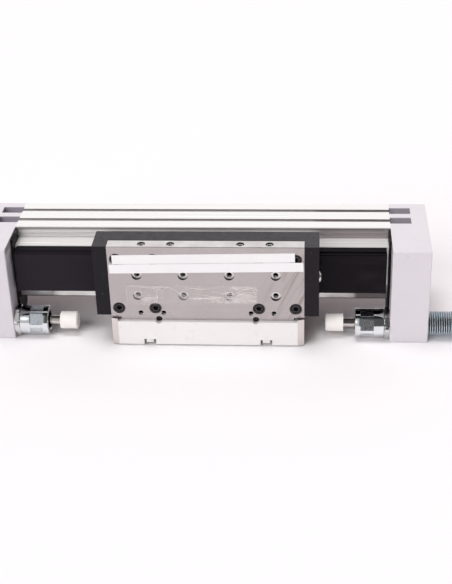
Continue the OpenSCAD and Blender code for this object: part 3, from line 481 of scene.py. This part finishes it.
dress(steel_finish("nipple_steel", (0.90, 0.89, 0.86), 0.34, 0.8, (1, 12, 12)), "grease_nipples")
dress(steel_finish("yoke_aluminium", (0.74, 0.74, 0.75), 0.30, 1.0, (1, 40, 40)), "piston_yoke")
dress(plastic_finish("piston_plastic", (0.07, 0.07, 0.075), 0.42), "left_piston", "right_piston")
dress(plastic_finish("guide_ring", (0.46, 0.36, 0.24), 0.45), "piston_rings")
dress(black_finish("magnet", (0.07, 0.068, 0.065), 0.50, 0.4), "piston_magnets")

# ---- surface detail ----


def mesh_piece(name, vertices, faces, material, body, smooth=True):
    """A piece of the scene that moves with a body."""
    mesh = bpy.data.meshes.new(name)
    mesh.from_pydata(vertices, [], faces)
    mesh.update()
    if smooth:
        mesh.shade_smooth()
    mesh.materials.append(material)
    piece = placed(name, mesh)
    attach(piece, body)
    return piece


def lathe(rings, around, start=0.0, closed=False):
    """Vertices and faces of a skin through rings of equal count, given as functions of the angle."""
    vertices = [ring(start + 2 * math.pi * j / around) for ring in rings for j in range(around)]
    faces = []
    for i in range(len(rings) - (0 if closed else 1)):
        here = i * around
        there = (i + 1) % len(rings) * around
        for j in range(around):
            k = (j + 1) % around
            faces.append((here + j, here + k, there + k, there + j))
    return vertices, faces


def turned_over(faces):
    """The same faces, looking the other way."""
    return [face[::-1] for face in faces]


def add_mesh(vertices, faces, more_vertices, more_faces):
    """Adds one mesh to the lists of another."""
    base = len(vertices)
    vertices.extend(more_vertices)
    faces.extend(tuple(k + base for k in face) for face in more_faces)


def scratched_finish(name, base, scratch):
    """Spanner flats: ground steel crossed by fine scratches, with a painted reflection of the floor where
    they face down.
    """
    f = Finish(name, base, 0.30, 1.0)
    f.vary(5, 0.10)
    for lean in (35, -40):
        turn = (math.radians(lean), 0, math.radians(lean))
        f.shade(f.noise(0.5, 2.0, (14, 1, 14), turn=turn, low=0.52, high=0.68), scratch, 0.55)
    f.shade(f.noise(2.6, 4.0, low=0.62, high=0.72), tuple(c * 0.45 for c in base), 0.5)
    # Painted reflection of the floor on the flats that face down
    f.shade(f.span(f.axis("Z", f.normal), -0.25, -0.55), (0.86, 0.88, 0.90), 0.9)
    f.roughen(1.0, 0.22, 0.38)
    f.relief(0.5, 0.004)
    return f.done()


# Vertices round a sleeve or nut
TURNED_AROUND = 120


def turned_part(node, side, flats, flat_turn, profile, flat_material):
    """A turned part with six spanner flats in place of a node.

    The profile is a closed list of (distance from the end by the slide, radius, hexagonal or not) in
    millimetres. Flats is the width over the flats, and flat_turn is the turn in degrees of the
    middle of a flat.
    """
    low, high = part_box(node)
    y = (low.y + high.y) / 2
    z = (low.z + high.z) / 2
    inner = high.x if side < 0 else low.x
    turn = math.radians(flat_turn)
    sixth = math.pi / 3

    def ring(distance, radius, hexed):
        def at(angle):
            r = radius
            if hexed:
                r = min(radius, flats / 2 / math.cos((angle - turn + sixth / 2) % sixth - sixth / 2))
            return (inner + side * distance * MM, y + r * MM * math.cos(angle), z + r * MM * math.sin(angle))
        return at

    vertices, faces = lathe([ring(*row) for row in profile], TURNED_AROUND, turn, True)
    if side < 0:
        faces = turned_over(faces)
    piece = mesh_piece(node + "_turned", vertices, faces, sleeve_steel, "housing")
    piece.data.materials.append(flat_material)
    for polygon in piece.data.polygons:
        row = polygon.index // TURNED_AROUND
        here = profile[row]
        following = profile[(row + 1) % len(profile)]
        # A face on a flat lies nearer to the axis than the round does
        far = math.hypot(polygon.center.y - y, polygon.center.z - z) / MM
        if here[2] and following[2] and following[0] > here[0] and far < here[1] - 0.04:
            polygon.material_index = 1
    piece.data.set_sharp_from_angle(angle=math.radians(28))
    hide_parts(node)


# Radius in millimetres of the bore over the absorber's thread
THREAD_BORE = 11.05


def sleeve_profile(radius, length):
    """The stop sleeve: a polished round with flats over its middle, bored from both ends."""
    mouth = 8.6
    seat = 17.6
    flats_from = 4.95
    flats_to = 16.35
    return [(seat, mouth, False), (0.5, mouth, False), (0.0, mouth + 0.5, False),
            (0.0, radius - 0.8, False), (0.25, radius - 0.25, False), (0.8, radius, False),
            (flats_from - 0.15, radius, False), (flats_from, radius, True),
            (flats_to, radius, True), (flats_to + 0.15, radius, False),
            (length - 0.8, radius, False), (length - 0.25, radius - 0.25, False),
            (length, radius - 0.8, False), (length, THREAD_BORE, False), (seat, THREAD_BORE, False)]


def nut_profile(radius, length):
    """The lock nut: a hexagon with its corners turned down on both faces."""
    return [(length, THREAD_BORE, False), (0.0, THREAD_BORE, False), (0.0, radius - 1.9, True),
            (0.35, radius - 1.2, True), (0.95, radius, True), (length - 0.95, radius, True),
            (length - 0.35, radius - 1.2, True), (length, radius - 1.9, True)]


# Width over the flats in millimetres
SLEEVE_FLATS = 23.4
NUT_FLATS = 24.0

# The absorber's body: its thread, the chamfer at both ends, the bore for the rod, and in the
# outer end a shallow dish round a hexagon socket
THREAD_PITCH = 2.0 * MM
THREAD_DEPTH = 1.1 * MM
THREAD_UNDER_CAP = 3 * MM
END_CHAMFER = 1.0 * MM
ROD_BORE = 4.05 * MM
ROD_BORE_DEPTH = 9 * MM
DISH_RIM = 6.4 * MM
DISH_FLOOR = 6.0 * MM
DISH_DEPTH = 0.3 * MM
SOCKET_FLATS = 8 * MM
SOCKET_DEPTH = 5 * MM
# Radius of the ring that closes the bottom of a bore
CLOSED = 0.01 * MM
# Vertices round the body, and rings in one turn of its thread
BODY_AROUND = 72
STEPS_PER_TURN = 10


def threaded_body(side):
    """The absorber body with a real helical thread outside the cap and a hexagon socket in its end."""
    word = "left" if side < 0 else "right"
    node = word + "_shock_body"
    low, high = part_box(node)
    # A little inside the solid, so that nothing stands out of its box
    radius = (high.z - low.z) / 2 - 0.02 * MM
    y = (low.y + high.y) / 2
    z = (low.z + high.z) / 2
    inner, outer = (high.x, low.x) if side < 0 else (low.x, high.x)
    length = abs(outer - inner)
    cap_low, cap_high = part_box(word + "_end_cap")
    start = abs((cap_low.x if side < 0 else cap_high.x) - inner) - THREAD_UNDER_CAP

    def point(along, r, angle):
        return (inner + side * along, y + r * math.cos(angle), z + r * math.sin(angle))

    def skin(along):
        """A ring of the outside, at a distance from the inner end."""
        def at(angle):
            r = radius
            if along > start:
                # Straight flanks between a narrow flat crest and a narrow flat root
                turn = (along / THREAD_PITCH - side * angle / (2 * math.pi)) % 1
                r -= THREAD_DEPTH * min(1.0, max(0.0, abs(turn - 0.5) * 2.5 - 0.12))
            r = min(r, radius - END_CHAMFER + along, radius - END_CHAMFER + (length - along))
            return point(along, r, angle)
        return at

    def plain(along, r):
        return lambda angle: point(along, r, angle)

    def hexagon(along):
        def at(angle):
            r = SOCKET_FLATS / 2 / math.cos((angle % (math.pi / 3)) - math.pi / 6)
            return point(along, r, angle)
        return at

    count = int((length - start) / (THREAD_PITCH / STEPS_PER_TURN))
    steps = [0.0, END_CHAMFER, start]
    steps += [start + (length - start) * (k + 1) / count for k in range(count)]
    rod_end = [plain(ROD_BORE_DEPTH, CLOSED), plain(ROD_BORE_DEPTH, ROD_BORE), plain(0, ROD_BORE)]
    dish = length - DISH_DEPTH
    bottom = length - SOCKET_DEPTH
    socket_end = [plain(length, DISH_RIM), plain(dish, DISH_FLOOR), hexagon(dish), hexagon(bottom),
                  plain(bottom, CLOSED)]
    rings = rod_end + [skin(along) for along in steps] + socket_end
    vertices, faces = lathe(rings, BODY_AROUND)
    if side < 0:
        faces = turned_over(faces)
    piece = mesh_piece(node + "_thread", vertices, faces, zinc, "housing")
    for polygon in piece.data.polygons:
        row = polygon.index // BODY_AROUND
        polygon.use_smooth = len(rod_end) < row < len(rings) - len(socket_end) - 1
    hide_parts(node)


zinc = zinc_finish()
for side in (-1, 1):
    threaded_body(side)

# The nuts get painted shade on their tops
nut_steel = steel_finish("nut_steel", (0.80, 0.79, 0.79), 0.16, 0.7, (1, 1, 8), 0.10, painted_shade=0.85)
# One finish for the spanner flats in a lit and a shaded copy: painted light on the left side, painted shade
# on the right
lit_left_flats = scratched_finish("flats_left_lit", (0.60, 0.64, 0.70), (0.82, 0.86, 0.92))
shaded_right_flats = scratched_finish("flats_right_shaded", (0.34, 0.35, 0.37), (0.66, 0.68, 0.72))
# On each side: the turn in degrees of a flat's middle on the sleeve and on the nut, and the flats' look
for word, side, sleeve_turn, nut_turn, flat_look in (("left", -1, 28.0, 21.5, lit_left_flats),
                                                     ("right", 1, 41.0, 25.6, shaded_right_flats)):
    low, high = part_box(word + "_stop_sleeve")
    turned_part(word + "_stop_sleeve", side, SLEEVE_FLATS, sleeve_turn,
                sleeve_profile((high.z - low.z) / 2 / MM, (high.x - low.x) / MM), flat_look)
    low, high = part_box(word + "_lock_nut")
    turned_part(word + "_lock_nut", side, NUT_FLATS, nut_turn,
                nut_profile((high.y - low.y) / 2 / MM, (high.x - low.x) / MM), nut_steel)

plate_low, plate_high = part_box("slide_plate")
plate_mid = (plate_low.x + plate_high.x) / 2


def thread_finish():
    """Cut thread inside a hole: bright on its first turns, lost in shade below."""
    f = Finish("hole_thread", (0.86, 0.84, 0.83), 0.20, 1.0)
    f.vary(2, 0.25)
    f.shade(f.noise(0.8, 3.0, low=0.55, high=0.7), (0.25, 0.21, 0.18), 0.5)
    f.roughen(1.0, 0.14, 0.30)
    f.relief(0.4, 0.003)
    return f.done()


# Vertices round a thread in a hole, rings in one turn of it, and its height over its pitch
LINER_AROUND = 24
LINER_STEPS_PER_TURN = 8
TOOTH_SHARE = 0.55


def thread_liner(mouth, axis, across, radius, deep, pitch):
    """A helical thread down the wall of a hole.

    The mouth is the hole's middle at the surface, in metres, and the other sizes are in millimetres.
    """
    third = axis.cross(across)
    steps = int(deep / pitch * LINER_STEPS_PER_TURN)

    def ring(depth, tooth):
        def at(angle):
            turn = (depth / pitch + angle / (2 * math.pi)) % 1
            r = radius - 0.01 - tooth * (1 - abs(turn * 2 - 1))
            out = across * (r * math.cos(angle)) + third * (r * math.sin(angle))
            return tuple(mouth + (out - axis * depth) * MM)
        return at

    rings = [ring(0.05, 0.0)]
    rings += [ring(0.1 + deep * i / steps, TOOTH_SHARE * pitch) for i in range(steps + 1)]
    rings += [ring(deep + 0.15, 0.0)]
    vertices, faces = lathe(rings, LINER_AROUND)
    return vertices, turned_over(faces)


def threads_of(mounts, deep, pitch, name):
    """Threads in every hole of the named mounts, as one piece on the slide."""
    vertices, faces = [], []
    for mount in frame["record"]["mounts"]:
        if mount["name"] not in mounts:
            continue
        dims = mount["dims"]
        axis = Vector(mount["axis"])
        along = Vector((1, 0, 0))
        up = axis.cross(along)
        rows = (-0.5, 0.5) if dims["count"] == 4 else (0.0,)
        for i in (-0.5, 0.5):
            for j in rows:
                mouth = Vector(mount["pos_m"]) + along * (i * dims["spacing_x_mm"] * MM)
                mouth += up * (j * dims.get("spacing_y_mm", 0.0) * MM)
                liner = thread_liner(mouth, axis, along, dims["hole_r_mm"], deep, pitch)
                add_mesh(vertices, faces, *liner)
    mesh_piece(name, vertices, faces, thread_finish(), "slide_unit")


front_mounts = ("plate_outer_holes", "plate_inner_holes", "small_outer_holes", "small_inner_holes")
threads_of(front_mounts, deep=3.2, pitch=0.8, name="front_threads")
edge_mounts = ("top_edge_outer_holes", "top_edge_inner_holes")
threads_of(edge_mounts, deep=4.0, pitch=1.0, name="edge_threads")


# How far the heads of the cover screws still stand out
HEADS_OUT = 0.1 * MM


def flush_cover_screws():
    """The cover screws, turned in until their heads are all but level with the covers."""
    low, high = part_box("cover_screws")
    proud = min(abs(low.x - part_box("left_end_cover")[0].x), abs(high.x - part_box("right_end_cover")[1].x))
    mesh = nodes["cover_screws"].data.copy()
    for vertex in mesh.vertices:
        vertex.co.x += (proud - HEADS_OUT) * (1 if vertex.co.x < plate_mid else -1)
    piece = placed("cover_screws_flush", mesh)
    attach(piece, "slide_unit")
    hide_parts("cover_screws")


flush_cover_screws()


def tape_finish():
    """White label tape with a few specks of dirt."""
    f = Finish("label_tape", (0.975, 0.97, 0.985), 0.36)
    f.vary(20, 0.025)
    f.shade(f.noise(1.3, 5.0, low=0.68, high=0.74), (0.60, 0.57, 0.55), 0.25)
    f.roughen(5, 0.28, 0.44)
    f.relief(7, 0.03)
    return f.done()


# The tape's width and thickness, in millimetres, and its parts along and across
TAPE_WIDTH = 8.7
TAPE_THICKNESS = 0.14
TAPE_ALONG = 90
TAPE_ACROSS = 6


def tape(name, left, right, left_z, right_z, seed):
    """A blank strip of label tape stuck on the plate.

    Its ends are told from the middle of the slide and its middle line by the height at both
    ends, in millimetres.
    """
    vertices, faces = [], []
    lean = (right_z - left_z) / (right - left)
    for top in (False, True):
        for i in range(TAPE_ALONG + 1):
            for j in range(TAPE_ACROSS + 1):
                u = i / TAPE_ALONG
                v = j / TAPE_ACROSS - 0.5
                ragged = 0.075 * MM * noise.noise(Vector((u * 9, v * 2, seed)))
                x = plate_mid + (left + (right - left) * u - v * lean * TAPE_WIDTH) * MM
                z = (left_z + (right_z - left_z) * u + v * TAPE_WIDTH) * MM + ragged
                # The tape is a little wavy, and its corners stand off
                lift = 0.05 * (1 + noise.noise(Vector((u * 26, v * 1.5, seed + 4))))
                if i in (0, TAPE_ALONG) and j in (0, TAPE_ACROSS):
                    lift += 0.10
                y = plate_low.y - (lift + TAPE_THICKNESS if top else 0.01) * MM
                vertices.append((x, y, z))
    rows = TAPE_ALONG + 1
    cols = TAPE_ACROSS + 1
    base = rows * cols
    for i in range(TAPE_ALONG):
        for j in range(TAPE_ACROSS):
            a = i * cols + j
            b = a + cols
            faces.append((base + a, base + b, base + b + 1, base + a + 1))
            faces.append((a + 1, b + 1, b, a))
    rim = [i * cols for i in range(rows)]
    rim += [TAPE_ALONG * cols + j for j in range(1, cols)]
    rim += [i * cols + TAPE_ACROSS for i in range(TAPE_ALONG - 1, -1, -1)]
    rim += [j for j in range(TAPE_ACROSS - 1, 0, -1)]
    for k, a in enumerate(rim):
        b = rim[(k + 1) % len(rim)]
        faces.append((a, b, base + b, base + a))
    mesh_piece(name, vertices, faces, label, "slide_unit", smooth=False)


label = tape_finish()
tape("label_upper", -80.4, 76.5, 84.1, 86.9, 1.0)
tape("label_lower", -83.4, 83.7, 75.0, 77.9, 7.0)


def film_finish(name, alpha_low, alpha_high):
    """Clear packing film: see-through, and whiter along its creases."""
    f = Finish(name, (1.0, 0.955, 0.94), 0.26)
    f.roughen(4, 0.20, 0.36)
    f.relief(2.5, 0.015)
    crease = f.noise(6.5, 3.0, (3.0, 1, 1), low=0.46, high=0.66)
    f.set(f.shader.inputs["Alpha"], f.span(crease, 0, 1, alpha_low, alpha_high))
    return f.done()


# The film's corners: x from the middle of the slide and z, in millimetres
FILM_X = (-69.8, 43.8)
FILM_Z = (41.0, 59.6)
# Its parts along and across
FILM_ALONG = 150
FILM_ACROSS = 34


def film():
    """The wrinkled clear film left on the lower half of the plate."""
    vertices, faces = [], []
    for i in range(FILM_ALONG + 1):
        for j in range(FILM_ACROSS + 1):
            u = i / FILM_ALONG
            v = j / FILM_ACROSS
            # The top edge waves and drops over its last quarter, and the bottom edge climbs
            # over its right half
            wave = noise.noise(Vector((u * 7, 3.1, 0.4)))
            top = FILM_Z[1] - 1.8 * abs(wave) - 8.0 * max(0.0, u - 0.75) * (0.5 + wave)
            bottom = FILM_Z[0] + 2.0 * noise.noise(Vector((u * 5, 8.2, 1.4))) + 4 * max(0.0, u - 0.5)
            x = FILM_X[0] + (FILM_X[1] - FILM_X[0]) * u + 1.2 * u * noise.noise(Vector((v * 3, u * 2, 5.0)))
            z = bottom + (top - bottom) * v
            # Sharp creases over gentle waves
            spot = Vector((x * 0.09, z * 0.16, 2.0))
            ridge = max(0.0, 1 - abs(noise.noise(spot)) * 5) * 0.28
            ridge += 0.10 * (1 + noise.noise(spot * 3.1))
            vertices.append((plate_mid + x * MM, plate_low.y - (0.04 + ridge) * MM, z * MM))
    cols = FILM_ACROSS + 1
    for i in range(FILM_ALONG):
        for j in range(FILM_ACROSS):
            a = i * cols + j
            faces.append((a, a + cols, a + cols + 1, a + 1))
    mesh_piece("clear_film", vertices, faces, film_finish("clear_film", 0.14, 0.56), "slide_unit")


# Places across a fold, from -1 to 1, with their heights in millimetres
FOLD_SECTION = ((-1, 0.0), (-0.5, 0.24), (0, 0.34), (0.5, 0.22), (1, 0.0))
# Steps of a fold's curve from one of its points to the next
STEPS_BETWEEN_POINTS = 14


def fold(points, wide, seed):
    """A raised fold of the film along a curve through points (x, z) in millimetres."""
    spine = []
    for k in range(len(points) - 1):
        for i in range(STEPS_BETWEEN_POINTS + (k == len(points) - 2)):
            u = i / STEPS_BETWEEN_POINTS
            a = Vector(points[k])
            b = Vector(points[k + 1])
            before = Vector(points[max(0, k - 1)])
            after = Vector(points[min(len(points) - 1, k + 2)])
            pull = (b - before) * 0.5 * (u - 2 * u * u + u ** 3) + (after - a) * 0.5 * (u ** 3 - u * u)
            spine.append(a * (1 - 3 * u * u + 2 * u ** 3) + b * (3 * u * u - 2 * u ** 3) + pull)
    # The fold is widest near its middle and narrower towards its ends
    vertices, faces = [], []
    for i, here in enumerate(spine):
        step = spine[min(i + 1, len(spine) - 1)] - spine[max(i - 1, 0)]
        side = Vector((-step.y, step.x)).normalized()
        u = i / (len(spine) - 1)
        spread = wide * (0.35 + 0.65 * math.sin(math.pi * min(1.0, 0.12 + u * 0.85)))
        spread *= 1 + 0.35 * noise.noise(Vector((u * 8, seed, 1.0)))
        for v, lift in FOLD_SECTION:
            place = here + side * (v * spread / 2)
            vertices.append((plate_mid + place.x * MM, plate_low.y - (0.12 + lift) * MM, place.y * MM))
    cols = len(FOLD_SECTION)
    for i in range(len(spine) - 1):
        for j in range(cols - 1):
            a = i * cols + j
            faces.append((a, a + cols, a + cols + 1, a + 1))
    return vertices, faces


def folds():
    """The folds that catch the light: the stuck left edge, the loose top edge and the ones between."""
    left, right = FILM_X
    low, top = FILM_Z
    # Each curve's points from the film's corner or edge, and the width of its fold
    curves = [
        (((left + 0.4, low + 2), (left + 0.2, low + 11), (left + 0.5, top - 0.5)), 0.8),
        (((left, top - 0.4), (left + 10, top - 1.2), (left + 19, top - 3.0), (left + 27, top - 3.4)), 0.7),
        (((left + 29, top - 3.5), (left + 26.6, top - 6.5), (left + 27, top - 13),
          (left + 27.5, low + 3)), 1.0),
        (((left + 32, top - 3.6), (left + 31.5, top - 9), (left + 32, low + 4)), 0.8),
        (((left + 34, top - 1.8), (left + 40, top - 3.6), (left + 46, top - 8), (left + 52, top - 11)), 0.9),
        (((left + 50, top - 4.5), (left + 58, top - 3.2), (left + 68, top - 3.6),
          (left + 78, top - 2.2)), 0.7),
        (((left + 60, top - 9), (left + 72, top - 10.5), (left + 84, top - 12),
          (left + 93, top - 13.5)), 1.1),
        (((left + 48, low + 5.5), (left + 62, low + 5.2), (left + 78, low + 6.5),
          (left + 92, low + 8)), 1.0),
        (((left + 74, top - 5), (left + 84, top - 8), (left + 96, top - 9)), 0.8),
        (((right - 22, top - 9), (right - 13, top - 5), (right - 3, top - 2)), 0.9),
        (((right - 18, low + 8), (right - 9, low + 12), (right - 1, top - 4)), 0.7),
        (((left + 8, top - 9), (left + 12, low + 5), (left + 17, low + 3)), 0.7),
    ]
    vertices, faces = [], []
    for seed, (points, wide) in enumerate(curves):
        add_mesh(vertices, faces, *fold(points, wide, seed * 3.7))
    mesh_piece("film_folds", vertices, faces, film_finish("film_folds", 0.50, 0.95), "slide_unit")


film()
folds()

# ---- studio ----


# In metres
FLOOR_CORNERS = [(-6, -4, 0), (6, -4, 0), (6, 9, 0), (-6, 9, 0)]


def floor():
    """A wide pale sheet under the part."""
    material = bpy.data.materials.new("studio_floor")
    material.use_nodes = True
    shader = material.node_tree.nodes["Principled BSDF"]
    shader.inputs["Base Color"].default_value = (0.955, 0.94, 0.955, 1)
    shader.inputs["Roughness"].default_value = 0.8
    shader.inputs["Specular IOR Level"].default_value = 0.1
    mesh = bpy.data.meshes.new("studio_floor")
    mesh.from_pydata(FLOOR_CORNERS, [], [(0, 1, 2, 3)])
    mesh.materials.append(material)
    placed("studio_floor", mesh)


# Light on matt surfaces, by direction: from the white backdrop, from the front and from the rest
BACKDROP = 0.72
FRONT_SIDE = 0.18
OVERHEAD = 0.06
SOFT_TINT = (1.0, 0.84, 0.85)
# What metal sees beside the white backdrop and the lamp: the dark room in front, the paler wall
# on the left, the ceiling in front of the lamp, and the glow of the side lamp
DARK_ROOM = 0.09
WALL = 0.55
CEILING = 0.02
SIDE_GLOW = 0.9
GLOW_SPREAD = 15
# Turns in degrees over which one part of the room gives way to the next
BACKDROP_EDGE = (116, 134)
FRONT_EDGE = (66, 54)
ROOM_EDGE = (66, 60)
LAMP_EDGE = (88, 93)
# The ways that the lamps shine
OVERHEAD_LAMP = (0.10, 0.0, -1.0)
SIDE_LAMP = (0.45, 0.72, -0.52)


class Sky(Graph):
    """A plain studio: soft light on the part, and white round it wherever the camera looks.

    Directions are told by their turn, from 0 at the front horizon over 90 overhead to 180 at the
    back horizon. Metal sees the white backdrop and the lamp overhead, in front of them a dark
    ceiling and a dark room, on its left side a paler wall, and the glow of the side lamp.
    """

    def __init__(self):
        world = bpy.data.worlds.new("studio")
        bpy.context.scene.world = world
        world.use_nodes = True
        super().__init__(world.node_tree)
        self.tree.nodes.clear()
        direction = self.node("ShaderNodeTexCoord").outputs["Generated"]
        self.x, self.y, self.z = self.node("ShaderNodeSeparateXYZ", _0=direction).outputs
        self.turn = self.math("ARCTAN2", self.z, self.math("MULTIPLY", self.y, -1.0))
        path = self.node("ShaderNodeLightPath")
        seen = self.math("MAXIMUM", path.outputs["Is Camera Ray"], path.outputs["Is Transmission Ray"])
        seen = self.math("MAXIMUM", seen, path.outputs["Is Glossy Ray"])
        soft = self.background(SOFT_TINT, self.soft())
        white = self.background((1, 1, 1), self.math("MAXIMUM", self.room(), path.outputs["Is Camera Ray"]))
        mix = self.node("ShaderNodeMixShader", _0=seen, _1=soft, _2=white)
        self.node("ShaderNodeOutputWorld", Surface=mix.outputs[0])

    def background(self, colour, strength):
        return self.node("ShaderNodeBackground", Color=(*colour, 1), Strength=strength).outputs[0]

    def rise(self, value, low, high):
        """0 at low, 1 at high, smooth between."""
        made = self.node("ShaderNodeMapRange", _0=value, _1=low, _2=high)
        made.interpolation_type = "SMOOTHSTEP"
        return made.outputs[0]

    def over(self, edge):
        """0 before the edge between two turns, 1 beyond it."""
        return self.rise(self.turn, math.radians(edge[0]), math.radians(edge[1]))

    def soft(self):
        """Light on matt surfaces by direction."""
        back = self.math("MULTIPLY", self.over(BACKDROP_EDGE), BACKDROP - OVERHEAD)
        front = self.math("MULTIPLY", self.over(FRONT_EDGE), FRONT_SIDE - OVERHEAD)
        return self.math("ADD", self.math("ADD", back, front), OVERHEAD)

    def room(self):
        """Brightness of the room by direction, as metal sees it."""
        wall = self.math("MULTIPLY", self.rise(self.x, 0.02, -0.20), WALL - DARK_ROOM)
        front = self.math("MULTIPLY", self.over(ROOM_EDGE), self.math("ADD", wall, DARK_ROOM - CEILING))
        above = self.math("MULTIPLY", self.over(LAMP_EDGE), 1.0 - CEILING)
        glow = self.math("MULTIPLY", self.towards(SIDE_LAMP, GLOW_SPREAD), SIDE_GLOW)
        return self.math("ADD", self.math("ADD", front, above), self.math("ADD", glow, CEILING))

    def towards(self, aim, spread):
        """1 in the direction a lamp shines from, 0 beyond the spread in degrees."""
        source = -Vector(aim).normalized()
        view = (self.x, self.y, self.z)
        parts = [self.math("MULTIPLY", part, length) for part, length in zip(view, source)]
        cosine = self.math("ADD", self.math("ADD", parts[0], parts[1]), parts[2])
        return self.rise(cosine, math.cos(math.radians(spread)), math.cos(math.radians(spread * 0.5)))


def lamp(name, aim, energy, angle, colour):
    """A wide soft source. Metal doesn't see it: the room in the sky stands for it there."""
    data = bpy.data.lights.new(name, "SUN")
    data.energy = energy
    data.angle = math.radians(angle)
    data.color = colour
    source = placed(name, data)
    source.rotation_euler = Vector(aim).normalized().to_track_quat("-Z", "Y").to_euler()
    source.visible_glossy = False


floor()
Sky()
lamp("overhead_softbox", OVERHEAD_LAMP, energy=1.95, angle=35, colour=(1.0, 1.0, 1.0))
lamp("side_softbox", SIDE_LAMP, energy=1.50, angle=46, colour=(1.0, 0.985, 0.985))

bpy.context.scene.view_settings.view_transform = "Standard"
